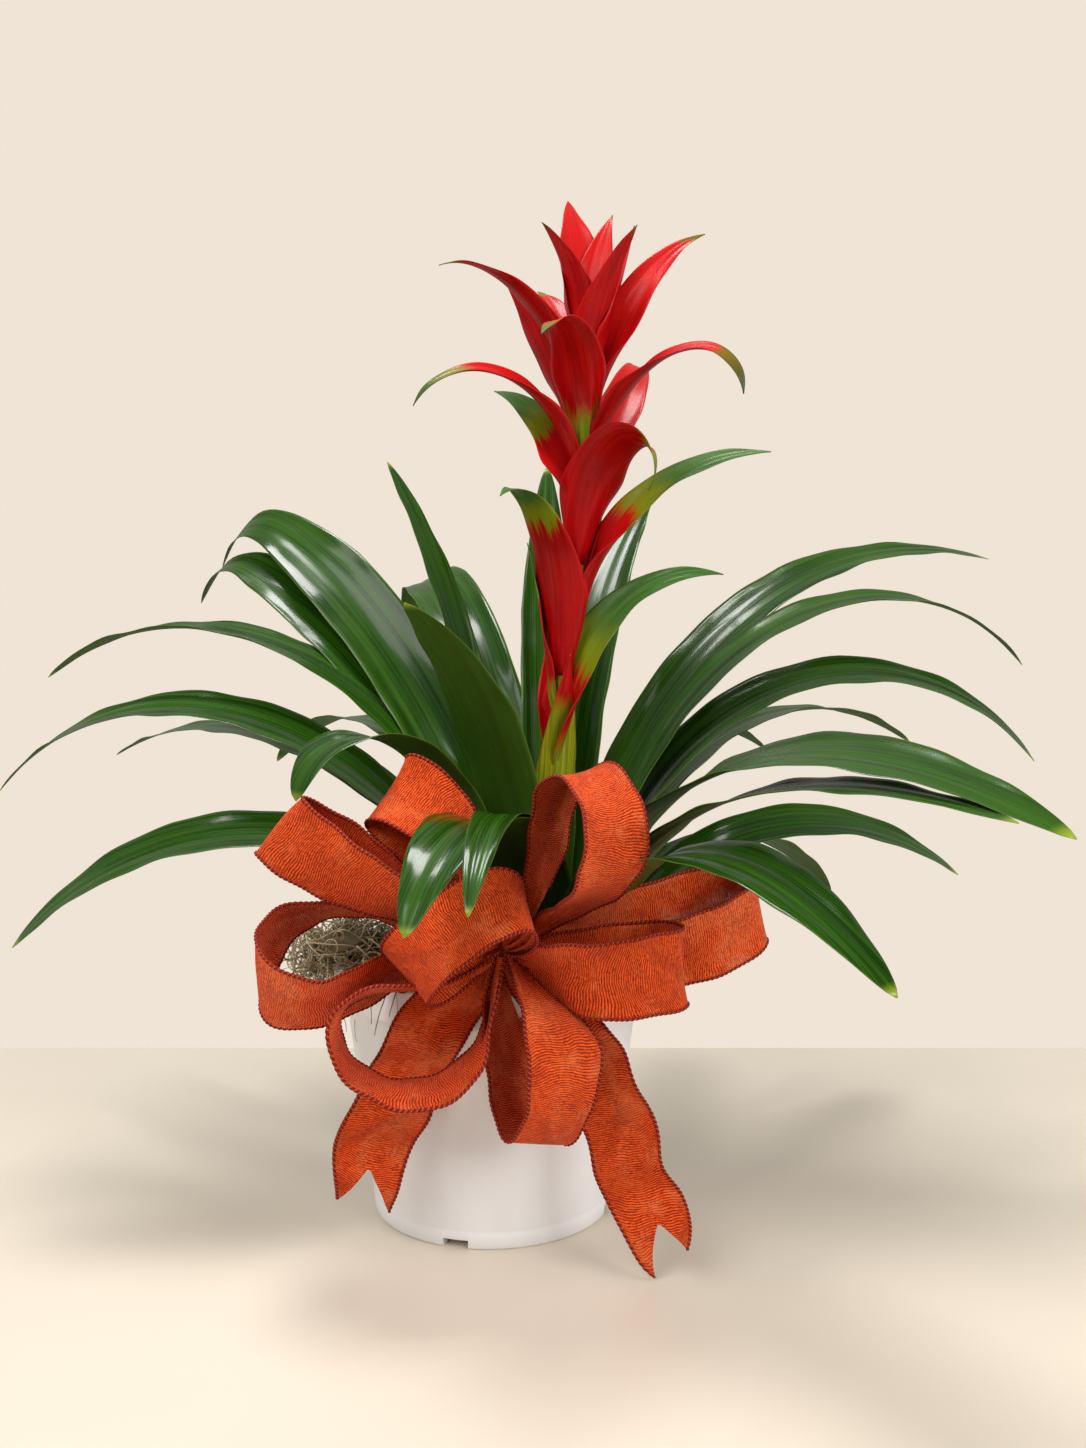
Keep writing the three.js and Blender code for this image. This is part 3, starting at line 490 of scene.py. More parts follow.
class Paint:
    """A material being made: its nodes, and short names for the ones used most."""

    def __init__(self, name, **constants):
        self.material = bpy.data.materials.new(name)
        self.material.use_nodes = True
        self.tree = self.material.node_tree
        self.shader = self.tree.nodes["Principled BSDF"]
        self.set(**constants)

    def feed(self, socket, value):
        """Links a Value to a socket, or sets the socket; three numbers are also a colour."""
        if isinstance(value, Value):
            self.tree.links.new(value.socket, socket)
        elif hasattr(value, "__len__") and len(value) == 3 and len(socket.default_value) == 4:
            socket.default_value = (*value, 1.0)
        else:
            socket.default_value = value

    def node(self, kind, settings=None, inputs=None, output=0):
        """Adds a node, with its own settings and what feeds its inputs, and hands back one output."""
        made = self.tree.nodes.new(kind)
        for key, value in (settings or {}).items():
            setattr(made, key, value)
        for key, value in (inputs or {}).items():
            self.feed(made.inputs[key], value)
        return Value(self, made.outputs[output])

    def set(self, **values):
        """Feeds the Principled shader (base_color is Base Color) and hands back the material."""
        for key, value in values.items():
            words = key.replace("_", " ").title().replace("Ior", "IOR")
            self.feed(self.shader.inputs[words], value)
        return self.material

    def split(self, vector):
        """The three numbers of a vector."""
        x = self.node("ShaderNodeSeparateXYZ", inputs={0: vector})
        return [Value(self, output) for output in x.socket.node.outputs]

    def attribute(self, name):
        """The three numbers of a vertex attribute."""
        return self.split(self.node("ShaderNodeAttribute", {"attribute_name": name}, output=1))

    def place(self):
        """Object coordinates."""
        return self.node("ShaderNodeTexCoord", output=3)

    def vector(self, x, y, z):
        """A vector of three Values or numbers."""
        return self.node("ShaderNodeCombineXYZ", inputs={0: x, 1: y, 2: z})

    def noise(self, vector, scale, detail=2.0, roughness=0.5):
        """Smooth noise round 0.5; scale is how many of its cells fit in a metre."""
        return self.node("ShaderNodeTexNoise", inputs={
            "Vector": vector, "Scale": scale, "Detail": detail, "Roughness": roughness})

    def grain(self, x, y, z, detail=2.0, roughness=0.5):
        """Noise drawn out along three numbers, which have their scales in them."""
        return self.noise(self.vector(x, y, z), 1.0, detail, roughness)

    def ramp(self, value, low, high, start=0.0, end=1.0):
        """start where value is below low, end where it is above high, smooth between."""
        return self.node("ShaderNodeMapRange", {"interpolation_type": "SMOOTHSTEP"}, {
            "Value": value, "From Min": low, "From Max": high, "To Min": start, "To Max": end})

    def mix(self, factor, first, second):
        """Colours mixed: first where factor is 0 and second where it is 1."""
        return self.node("ShaderNodeMix", {"data_type": "RGBA", "clamp_factor": True},
                         {0: factor, 6: first, 7: second}, output=2)

    def bump(self, height, strength, distance):
        """A surface direction that makes a height seem to stand out, by distance in metres."""
        return self.node("ShaderNodeBump", inputs={
            "Height": height, "Strength": strength, "Distance": distance})


def leaf_paint(plant):
    """Glossy green leaf: lengthwise veins, a paler matt underside, thin pale margins and tips."""
    paint = Paint("green_leaf", coat_roughness=0.14, specular_ior_level=0.12)
    s, u, seed = paint.attribute("blade")
    across, along, side = paint.attribute("strip")
    veins = paint.grain(across * 1500.0, along * 9.0, seed * 40.0, 3.0, 0.6)
    bands = paint.grain(across * 230.0, along * 5.0, seed * 17.0 + 3.0)
    patches = paint.grain(across * 40.0, along * 14.0, seed * 9.0, 3.0)
    streak = paint.ramp(veins * 0.55 + bands * 0.45, 0.36, 0.64)
    top = paint.mix(streak, plant.leaf_dark, plant.leaf_light)
    top = paint.mix(paint.ramp(patches, 0.45, 0.75) * 0.4, top, (0.032, 0.098, 0.003))
    under = paint.mix(streak * 0.6, plant.leaf_under, (0.055, 0.125, 0.010))
    colour = paint.mix(side, under, top)
    foot = paint.ramp(s + (bands - 0.5) * 0.12, 0.02, 0.42, 1.0, 0.0)
    colour = paint.mix(foot * 0.55, colour, (0.085, 0.19, 0.012))
    margin = paint.ramp(u.size(), 0.94, 1.0) * 0.35
    colour = paint.mix(margin, colour, (0.16, 0.22, 0.03))
    tip = paint.ramp(s + (patches - 0.5) * 0.02, 0.975, 1.0)
    colour = paint.mix(tip, colour, plant.leaf_tip)
    rough = 0.22 + streak * 0.12 + (1.0 - side) * 0.2
    ridges = paint.bump(veins * 0.6 + bands * 1.6, 0.32, 0.0005)
    return paint.set(
        base_color=colour, roughness=rough, coat_weight=0.06 + side * 0.27, normal=ridges)


def bract_paint(plant):
    """Waxy bract: yellow-green foot, red body with painted light on its upper face, and green tip, each
    ending in a streaked edge.
    """
    paint = Paint("red_bract", coat_weight=0.1, coat_roughness=0.22, specular_ior_level=0.1)
    s, u, seed = paint.attribute("blade")
    across, along, side = paint.attribute("strip")
    foot_end, tip_start, tip_dark = paint.attribute("tint")
    streaks = paint.grain(across * 700.0, along * 14.0, seed * 31.0, 3.0, 0.6)
    clouds = paint.grain(across * 110.0, along * 45.0, seed * 7.0, 3.0)
    jagged = (streaks - 0.5) * 0.2 + (clouds - 0.5) * 0.12
    red = paint.mix(paint.ramp(streaks, 0.3, 0.7), plant.bract_red, (0.50, 0.004, 0.004))
    red = paint.mix(paint.ramp(clouds, 0.35, 0.7) * 0.5, red, (0.20, 0.001, 0.002))
    # Painted light: the upper face is lighter red, standing in for sheen and light shining through the
    # bract
    red = paint.mix(side * 0.3, red, (0.72, 0.012, 0.012))
    gold = paint.mix(paint.ramp(streaks, 0.4, 0.65), (0.12, 0.20, 0.006), (0.34, 0.30, 0.010))
    body = paint.mix(paint.ramp(s + jagged - foot_end, -0.05, 0.07), gold, red)
    lime = paint.mix(tip_dark, (0.22, 0.27, 0.008), (0.11, 0.022, 0.004))
    into_green = s + jagged - tip_start
    body = paint.mix(paint.ramp(into_green, -0.035, 0.035), body, lime)
    green = paint.mix(paint.ramp(streaks, 0.35, 0.65), plant.bract_green, (0.07, 0.17, 0.03))
    green = paint.mix(tip_dark, green, (0.035, 0.030, 0.016))
    body = paint.mix(paint.ramp(into_green, 0.04, 0.21), body, green)
    rim = paint.ramp(u.size(), 0.9, 1.0) * paint.ramp(into_green, -0.1, 0.1, 1.0, 0.35)
    body = paint.mix(rim * 0.4, body, (0.50, 0.02, 0.02))
    specks = paint.node("ShaderNodeTexVoronoi", inputs={
        "Vector": paint.vector(across * 260.0, along * 260.0, seed * 20.0), "Scale": 1.0})
    rare = paint.ramp(paint.noise(paint.place(), 320.0, 1.0), 0.64, 0.68)
    body = paint.mix(paint.ramp(specks, 0.07, 0.12, 1.0, 0.0) * rare, body, (0.02, 0.012, 0.008))
    return paint.set(base_color=body, roughness=0.3 + clouds * 0.12,
                     normal=paint.bump(streaks * 0.7 + clouds * 0.5, 0.4, 0.0005))


def ribbon_paint(bow):
    """Loose linen ribbon: crinkled cross threads over a fine weave, painted lit on their crests and
    painted shaded in the hollows and creases, half sheer, with slubs.
    """
    paint = Paint("linen_ribbon", specular_ior_level=0.1, sheen_weight=0.05, sheen_roughness=0.5)
    across, along, sheer = paint.attribute("strip")
    wander = paint.grain(across * 75.0, along * 60.0, 3.0) - 0.5
    slant = paint.grain(across * 22.0, along * 16.0, 8.0, 1.0) - 0.5
    creases = along + across * slant * 1.8 + wander * 0.0045
    crinkle = (creases * (TURN / bow.crinkle_pitch)).wave()
    broken = paint.grain(across * 560.0, along * 1250.0, 1.0, 2.0, 0.6)
    weave = (across * (TURN / 0.0008)).wave() + (along * (TURN / 0.0007)).wave()
    thread = crinkle * 0.34 + broken * 0.5 + weave * 0.08
    # Painted light and shade: where crinkles and threads stand up the cloth gets the lit orange, in the
    # hollows the shaded orange
    lit = paint.ramp(thread, 0.36, 0.62)
    colour = paint.mix(lit, bow.shaded_orange, bow.lit_orange)
    slub = paint.grain(across * 30.0, along * 800.0, 12.0)
    colour = paint.mix(paint.ramp(slub, 0.66, 0.74) * 0.4, colour, (0.80, 0.20, 0.05))
    worn = paint.grain(across * 60.0, along * 42.0, 20.0, 3.0) + sheer * 0.16
    pale = paint.ramp(worn, 0.52, 0.72)
    colour = paint.mix(pale * 0.4, colour, (0.85, 0.21, 0.07))
    # Painted shade: darker patches where the cloth creases
    crease_shade = paint.grain(across * 45.0, along * 34.0, 33.0, 3.0, 0.6)
    colour = paint.mix(paint.ramp(crease_shade, 0.5, 0.68) * 0.35, colour, (0.30, 0.017, 0.003))
    # Painted shade along thin creases, which the bump also sinks
    groove_lines = (paint.grain(across * 190.0, along * 330.0, 41.0) - 0.5).size()
    shaded_groove = paint.ramp(groove_lines, 0.0, 0.03, 1.0, 0.0)
    colour = paint.mix(shaded_groove * 0.45, colour, (0.16, 0.008, 0.002))
    cover = paint.ramp(thread, 0.22, 0.55, 0.62, 1.0) + (0.34 - pale * (sheer * 0.42))
    return paint.set(base_color=colour, roughness=0.72 + lit * 0.1, alpha=cover,
                     normal=paint.bump(thread - shaded_groove * 0.5, 0.9, 0.0006))


def edge_paint(bow):
    """Overstitched wired edge: dark slanted stitches with orange cloth between them."""
    paint = Paint("stitched_edge", specular_ior_level=0.25)
    turn, along = paint.attribute("strip")[:2]
    slanted = (along * (TURN / bow.stitch_pitch) + turn).wave()
    fuzz = paint.noise(paint.place(), 2200.0)
    dark = paint.ramp(slanted + (fuzz - 0.5) * 0.5, 0.0, 0.45, 0.1, 1.0)
    return paint.set(base_color=paint.mix(dark, (0.55, 0.060, 0.012), bow.edge_dark), roughness=0.75,
                     normal=paint.bump(slanted + fuzz, 0.7, 0.0004))


def moss_paint(pot):
    """Dry Spanish moss: grey-olive strands, each a shade of its own, with painted shade darker in the
    tangle.
    """
    paint = Paint("spanish_moss", specular_ior_level=0.2)
    seed, along, depth = paint.attribute("strand")
    tones = paint.grain(seed * 90.0, along * 3.0, 0.0)
    colour = paint.mix(paint.ramp(tones, 0.3, 0.7), (0.19, 0.15, 0.07), pot.moss_light)
    # Painted shade: the deeper in its lump a point lies, the darker
    colour = paint.mix(depth * 0.68, colour, (0.060, 0.044, 0.021))
    return paint.set(base_color=colour, roughness=0.85,
                     normal=paint.bump(paint.noise(paint.place(), 900.0), 0.4, 0.0004))


def plastic_paint(pot):
    """Thin white nursery plastic: faint flow streaks, a soft sheen and a foot that grows browner and
    darker towards the bottom.
    """
    paint = Paint("pot_plastic", specular_ior_level=0.45, coat_weight=0.06, coat_roughness=0.3,
                  subsurface_weight=0.12, subsurface_radius=(0.006, 0.0055, 0.005),
                  subsurface_scale=1.0)
    spot = paint.place()
    drawn = paint.node("ShaderNodeVectorMath", {"operation": "MULTIPLY"}, {
        0: spot, 1: (60.0, 60.0, 7.0)})
    flow = paint.noise(drawn, 1.0, 3.0)
    fine = paint.noise(spot, 1400.0)
    height = paint.split(spot)[2]
    # Browner and darker towards the bottom of the foot
    darker_foot = paint.ramp(height + (flow - 0.5) * 0.01, 0.001, 0.012, 0.22, 0.0)
    colour = paint.mix(paint.ramp(flow, 0.35, 0.7) * 0.25, pot.plastic, (0.73, 0.72, 0.71))
    colour = paint.mix(darker_foot, colour, (0.45, 0.40, 0.34))
    return paint.set(base_color=colour, roughness=0.36 + flow * 0.14 + fine * 0.05,
                     normal=paint.bump(flow * 0.8 + fine * 0.12, 0.16, 0.0008))


def mix_paint(pot):
    """Crumbly bark and peat: dark brown with paler chips and white grit."""
    paint = Paint("growing_mix", specular_ior_level=0.25)
    spot = paint.place()
    crumbs = paint.node("ShaderNodeTexVoronoi", inputs={"Vector": spot, "Scale": 420.0})
    tone = paint.noise(spot, 260.0, 4.0, 0.6)
    colour = paint.mix(paint.ramp(tone, 0.35, 0.72), pot.mix_dark, (0.14, 0.085, 0.045))
    grit = paint.ramp(paint.noise(spot, 700.0, 1.0), 0.72, 0.76)
    colour = paint.mix(grit, colour, (0.42, 0.38, 0.31))
    return paint.set(base_color=colour, roughness=0.92,
                     normal=paint.bump(crumbs + tone, 0.9, 0.0015))


def wire_paint():
    """Annealed florist wire under a thin green-grey lacquer."""
    paint = Paint("florist_wire", metallic=0.8)
    tone = paint.noise(paint.place(), 800.0)
    colour = paint.mix(paint.ramp(tone, 0.35, 0.7), (0.10, 0.115, 0.085), (0.24, 0.25, 0.21))
    return paint.set(base_color=colour, roughness=0.35 + tone * 0.2)


def blade_spine(law, base, steps):
    """Midrib points and frames of a leaf or bract, for s from 0 to 1.

    It heads along az + swing·s^1.5 and climbs at rise + (fall - rise)·s^bend, less the hook over
    the last fifth and the splay over the first seventh; the points are the running sum of headings.
    Side and up stand square to the heading and turn about it by roll·smooth(s / 0.5).
    """
    def angles(s):
        climb = law["rise"] + (law["fall"] - law["rise"]) * s ** law["bend"]
        climb = climb - law["hook"] * smooth((s - 0.8) / 0.2) - law["splay"] * (1 - smooth(s / 0.15))
        return np.radians(law["az"] + law["swing"] * s**1.5), np.radians(climb)

    s = np.linspace(0, 1, steps + 1)
    run = heading(*angles((s[1:] + s[:-1]) / 2)) * law["length"] / steps
    points = base + np.concatenate([np.zeros((1, 3)), np.cumsum(run, axis=0)])
    turn, climb = angles(s)
    ahead = heading(turn, climb)
    roll = np.radians(law["roll"]) * smooth(s / 0.5)
    side = turned(heading(turn - TURN / 4, 0), ahead, roll)
    return s, points, side, turned(heading(turn, climb + TURN / 4), ahead, roll)


def blade(law, base, steps, columns, look, **carried):
    """Closed blade, whose rings run along the upper face and back along the lower one.

    Across u from -1 to 1 a section is an arc of radius curl = foot_r + cup·half·(s / 0.4)^1.2: the
    point at angle a = u·width / curl lies at side·curl·sin a + up·curl·(1 - cos a). The width opens
    over the first third and closes as ((1 - s) / taper)^point. Margins wave by wave·sin·u³, three
    low ridges run lengthwise, and the thickness falls from the midrib to the margin.
    """
    s, points, side, up = blade_spine(law, base, steps)
    s, side, up = s[:, None], side[:, None], up[:, None]
    u = np.linspace(-1, 1, columns) * np.ones_like(s)
    foot = min(law["half"], law["foot_half"])
    width = foot + (law["half"] - foot) * smooth(s / 0.35)
    width = np.maximum(width * np.clip((1 - s) / law["taper"], 0, 1) ** law["point"], look["tip_half"])
    curl = law["foot_r"] + law["cup"] * law["half"] * np.minimum(s / 0.4, 1) ** 1.2
    angle = (u * width / curl)[..., None]
    normal = up * np.cos(angle) - side * np.sin(angle)
    along = s * law["length"]
    phase = look["seed"] * 40.0
    wave = u**3 * np.sin(TURN * along / 0.055 + phase)
    wave = wave + 0.6 * np.abs(u) ** 3 * np.sin(TURN * along / 0.031 + 2.1 * phase)
    lift = look["wave"] * wave + look["ridge"] * np.cos(1.5 * TURN * u + phase * 0.3)
    lift = lift * smooth(s / 0.3) * smooth((1 - s) / 0.12)
    middle = points[:, None] + curl[..., None] * (side * np.sin(angle) + up * (1 - np.cos(angle)))
    middle = middle + normal * lift[..., None]
    thick = look["thickness"] * (1 - 0.62 * u**2) * (1 - 0.4 * s)
    half = normal * thick[..., None] / 2
    rings = both_faces(middle + half, middle - half)
    across = both_faces(u, u)
    face = both_faces(np.ones_like(u), np.zeros_like(u))
    return part(rings, [ring_faces(*rings.shape[:2])], blade=(s, across, look["seed"]),
                strip=(across * width, along, face), **carried)


def make_leaf(plant, paint, name, rank):
    """One leaf: the frame's law with fine steps, a waved margin and low lengthwise ridges."""
    foot_r = SHEATH_FIRST_R + SHEATH_STEP * rank
    law = dict(LEAVES[name], foot_r=foot_r, foot_half=1.25 * foot_r, splay=0, taper=0.32,
               point=0.6, cup=2.2)
    look = dict(seed=(rank * 0.381966) % 1.0, wave=plant.margin_wave, ridge=0.00022,
                thickness=plant.leaf_thickness, tip_half=0.00035)
    foot = CROWN + foot_r * heading(math.radians(law["az"]), 0)
    make_piece(f"{name}_blade", name, [blade(law, foot, 84, 17, look)], [paint])


def stem_point(z):
    """The stem's middle at height z: it leans to the right by STEM_LEAN as it climbs."""
    return xyz(CROWN[0] + STEM_LEAN * smooth((z - 0.180) / 0.230), CROWN[1], z)


def stem_radius(z):
    """The stem narrows evenly from the crown to its top."""
    return STEM_BASE_R + (STEM_TIP_R - STEM_BASE_R) * (z - CROWN[2]) / (STEM_TOP - CROWN[2])


def stem():
    """The stem as rings of 16 points, with a little swelling at every NODE_PITCH of its height."""
    z = np.linspace(CROWN[2], STEM_TOP + 0.006, 60)
    radius = stem_radius(z) * (1 + 0.05 * np.sin(TURN * z / NODE_PITCH))
    rings = stem_point(z)[:, None] + radius[:, None, None] * heading(circle(16), 0)
    return part(rings, [ring_faces(60, 16)], blade=(0.02, 0.0, 0.5),
                strip=(rings[..., 0], rings[..., 2], 1.0), tint=(0.5, 2.0, 0.0))


def make_spike(paint):
    """Stem and bracts in one mesh. A bract clasps the stem: its foot's arc has the stem's radius."""
    parts = [stem()]
    for rank, law in enumerate(BRACTS):
        radius = stem_radius(law["z"])
        look = dict(seed=(rank * 0.618) % 1.0, wave=0.0005, ridge=0.00012, thickness=0.0008,
                    tip_half=0.0003)
        foot = stem_point(law["z"]) + radius * heading(math.radians(law["az"]), 0)
        law = dict(law, foot_r=radius + 0.0004, foot_half=2.1 * radius, splay=12, taper=0.7,
                   point=0.85, cup=0.9)
        parts.append(blade(law, foot, 56, 15, look, tint=law["tint"]))
    make_piece("bract_spike", "flower_spike", parts, [paint])


def at_pixel(across, down, y):
    """Where the camera's ray through a pixel of the photograph meets the plane at depth y."""
    right = (across - IMAGE_WIDTH / 2) / FOCAL_PIXELS
    above = (IMAGE_HEIGHT / 2 - down) / FOCAL_PIXELS
    level, steep = math.cos(CAMERA_PITCH), math.sin(CAMERA_PITCH)
    reach = (y + CAMERA_DISTANCE) / (level + above * steep)
    return xyz(CAMERA_X + right * reach, y, CAMERA_HEIGHT + (above * level - steep) * reach)


def curve_through(knots, steps):
    """Even cubic B-spline that starts and ends on its first and last knots."""
    knots = np.concatenate([2 * knots[:1] - knots[1:2], knots, 2 * knots[-1:] - knots[-2:-1]])
    t = np.linspace(0, len(knots) - 3, steps + 1)
    k = np.minimum(t.astype(int), len(knots) - 4)
    f = (t - k)[:, None]
    a, b, c, d = (knots[k + i] for i in range(4))
    return ((1 - f) ** 3 * a + (3 * f**3 - 6 * f**2 + 4) * b
            + (3 * f * (1 + f - f**2) + 1) * c + f**3 * d) / 6


def ribbon_edges(ribbon, steps):
    """The two edges of a ribbon as curves, from where its stations lie in the photograph.

    A station has both edges' pixels and the depth of the cloth's middle. The edges are as far apart
    as the ribbon is wide, less what is gathered into pleats at the pinch, so what their pixels don't
    show of that width is depth: lean is 1 where the first edge is the nearer one and -1 where not.
    """
    *pixels, depth = np.array(ribbon["stations"], float).T
    first, second, y = pixels[:2], pixels[2:], depth * MM
    rank = np.arange(len(y))
    from_pinch = rank if ribbon["hangs"] else np.minimum(rank, rank[::-1])
    width = PINCHED_WIDTH + (RIBBON_WIDTH - PINCHED_WIDTH) * smooth(from_pinch / GATHER_STATIONS)
    shown = np.linalg.norm(at_pixel(*first, y) - at_pixel(*second, y), axis=1)
    hidden = np.sqrt(np.maximum(width**2 - shown**2, 0)) * ribbon["lean"] / 2
    return (curve_through(at_pixel(*first, y - hidden), steps),
            curve_through(at_pixel(*second, y + hidden), steps))


def ribbon_surface(bow, ribbon, steps):
    """A ribbon's length, and a function that gives its points and normals.

    At u across (-1 to 1) and a share of the length, a point is the mix of the two edges, raised along
    the normal: where the cloth is flat by crown·(1 - u²), a ripple of the edges and a soft slanted
    wave, where it is gathered by pleats, PLEAT_DEPTH·sin(4.5πu), and on a tail by a long wave.
    """
    first, second = ribbon_edges(ribbon, steps)
    middle = (first + second) / 2
    run = np.concatenate([[0], np.cumsum(np.linalg.norm(np.diff(middle, axis=0), axis=1))])
    length = float(run[-1])
    up = unit(np.cross(second - first, unit(np.gradient(middle, axis=0))))
    narrow = np.linalg.norm(second - first, axis=1) / (GATHERED_BELOW * RIBBON_WIDTH)
    gathered = np.sqrt(np.maximum(1 - narrow**2, 0))
    seed = ribbon["seed"]

    def surface(u, share):
        at = np.interp(share, run / length, np.arange(steps + 1.0))
        k = np.minimum(at.astype(int), steps - 1)
        f = (at - k)[..., None]

        def between(field):
            """The field's value at the share, from its values at the steps around it."""
            return field[k] * (1 - f) + field[k + 1] * f

        normal = unit(between(up))
        folds = between(gathered[:, None])[..., 0]
        along = TURN * share * length
        flat = bow.crown * (1 - u**2) + 0.0005 * u * np.abs(u) * np.sin(along / 0.023 + 5 * seed + u)
        flat = flat + 0.0004 * np.sin(along / 0.041 + TURN * 0.35 * u + 3 * seed)
        lift = (1 - folds) * flat + folds * PLEAT_DEPTH * np.sin(2.25 * TURN * u + seed)
        sway = np.sin(along / 0.036 + seed + 0.5 * u)
        lift = (lift + ribbon["wave"] * smooth(share / 0.4) * sway)[..., None]
        u = u[..., None]
        return between(first) * (1 - u) / 2 + between(second) * (1 + u) / 2 + normal * lift, normal

    return length, surface


def ribbon_rope(bow, line, normal, along):
    """The wired edge: a rope of radius edge_radius·(1 + 0.2·sin(2π·along / stitch_pitch + a))."""
    beside = np.cross(normal, unit(np.gradient(line, axis=0)))
    spin = circle(8)
    radius = bow.edge_radius * (1 + 0.2 * np.sin(TURN * along / bow.stitch_pitch + spin))
    rings = tube(line, beside, normal, radius, 8)
    return part(rings, [ring_faces(*rings.shape[:2])[:, ::-1]], 1, strip=(spin, along, 0.0))


def make_ribbon(bow, paints, name, ribbon, steps=130, columns=21):
    """One loop or tail: a thin woven sheet and a rope along each edge.

    A tail's sheet ends in a notch: it is shorter by notch_depth at notch_at across, and by less
    towards both edges, as (1 - distance)^1.25.
    """
    length, surface = ribbon_surface(bow, ribbon, steps)
    u = np.linspace(-1, 1, columns)
    end = np.ones_like(u)
    if ribbon["hangs"]:
        reach = np.where(u < ribbon["notch_at"], 1 + ribbon["notch_at"], 1 - ribbon["notch_at"])
        slope = (1 - np.abs(u - ribbon["notch_at"]) / reach) ** 1.25
        end = 1 - ribbon["notch_depth"] * slope / length
    share = np.linspace(0, 1, steps + 1)[:, None] * end
    u = u * np.ones_like(share)
    sheet, normal = surface(u, share)
    half = normal * bow.cloth_thickness / 2
    rings = both_faces(sheet + half, sheet - half)
    across, along = both_faces(u, u) * RIBBON_WIDTH / 2, both_faces(share, share) * length
    parts = [part(rings, [ring_faces(*rings.shape[:2])[:, ::-1]],
                  strip=(across, along, ribbon["sheer"]))]
    rope_steps = int(length / (bow.stitch_pitch / 5))
    for edge, last in ((-1.0, end[0]), (1.0, end[-1])):
        share = np.linspace(0, last, rope_steps + 1)
        line, normal = surface(np.full_like(share, edge), share)
        parts.append(ribbon_rope(bow, line, normal, share[:, None] * length))
    piece = make_piece(f"{name}_ribbon", name, parts, paints)


def make_pinch(paint):
    """Gathered middle of the bow: a spool of nine pleats, waisted where the wire draws it in.

    Its radius at height h (-1 to 1) and angle a is
    PINCH_R·(0.78 + 0.22·h²)·√(1 - h⁴)·(1 + 0.1·cos 9a).
    """
    h = np.linspace(-0.999, 0.999, 41)[:, None]
    angle = circle(108)
    radius = PINCH_R * (0.78 + 0.22 * h**2) * np.sqrt(1 - h**4) * (1 + 0.1 * np.cos(9 * angle))
    rings = PINCH + xyz(radius * np.cos(angle), PINCH_HALF * h, -radius * np.sin(angle))
    folds = part(rings, [ring_faces(41, 108)], strip=(PINCH_R * angle, PINCH_HALF * h, 1.0))
    make_piece("bow_pinch_folds", "bow_pinch", [folds], [paint])


def make_wire(paint):
    """Two strands twisted round each other from behind the pinch down into the growing mix.

    A strand's middle lies 1.05·WIRE_R off the line between the ends, at angle 2π·WIRE_LAYS·t.
    """
    low, high = (np.array(corner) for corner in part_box("bow_wire"))
    foot = np.array((high[0], high[1], low[2])) + 2 * WIRE_R * np.array((-1, -1, 1))
    top = np.array((low[0], low[1], high[2])) + WIRE_R * np.array((2, 2, -1))
    t = np.linspace(0, 1, 240)[:, None]
    ahead = unit(top - foot)
    beside = unit(np.cross(ahead, (0.0, -1.0, 0.0)))
    above = np.cross(beside, ahead)
    parts = []
    for strand in range(2):
        lay = TURN * WIRE_LAYS * t + TURN / 2 * strand
        middle = foot + (top - foot) * t + 1.05 * WIRE_R * (beside * np.cos(lay) + above * np.sin(lay))
        parts.append(part(tube(middle, beside, above, WIRE_R, 8), [ring_faces(240, 8)]))
    make_piece("bow_wire_twist", "bow_wire", parts, [paint])


def pot_profile():
    """The pot's section as (radius, height) points from the floor pad round the rim and back."""
    def wall(z, off=0.0):
        foot = POT_BASE_R - 0.0008
        return foot + (POT_TOP_R - 0.003 - foot) * z / POT_HEIGHT + off

    def rim(off, below):
        return POT_TOP_R - off, POT_HEIGHT - below

    band = POT_HEIGHT - RIM_BAND
    inner = WALL + 0.0006
    return np.array([
        (0.0004, 0), (0.0195, 0), (0.0205, 0.0003), (0.0215, 0.0017), (0.023, 0.002), (0.0545, 0.002),
        (0.0562, 0.0012), (0.0568, 0.0002), (0.058, 0), (0.0622, 0), (0.0628, 0.0005),
        (POT_BASE_R, 0.0014), (POT_BASE_R + 0.0005, 0.0078), (POT_BASE_R + 0.0002, 0.0086),
        (wall(0.0096), 0.0098), *((wall(z), z) for z in (0.03, 0.06, 0.09, band - 0.0072)),
        (wall(band - 0.006, 0.0007), band - 0.0059), (wall(band, 0.0008), band - 0.0006),
        (POT_TOP_R - 0.0016, band + 0.0005), (POT_TOP_R - 0.0012, band + 0.0014),
        rim(0.0006, 0.0042), rim(0.0003, 0.0028), rim(0, 0.0019), rim(0, 0.0006), rim(0.0006, 0),
        rim(inner - 0.0005, 0), rim(inner, 0.0005), (wall(band, -WALL), band),
        (wall(0.06, -WALL), 0.06), (wall(0.005, -WALL), 0.006),
        (wall(0.005, -WALL - 0.0012), FLOOR_TOP + 0.0002), (0.05, FLOOR_TOP), (0.0004, FLOOR_TOP)])


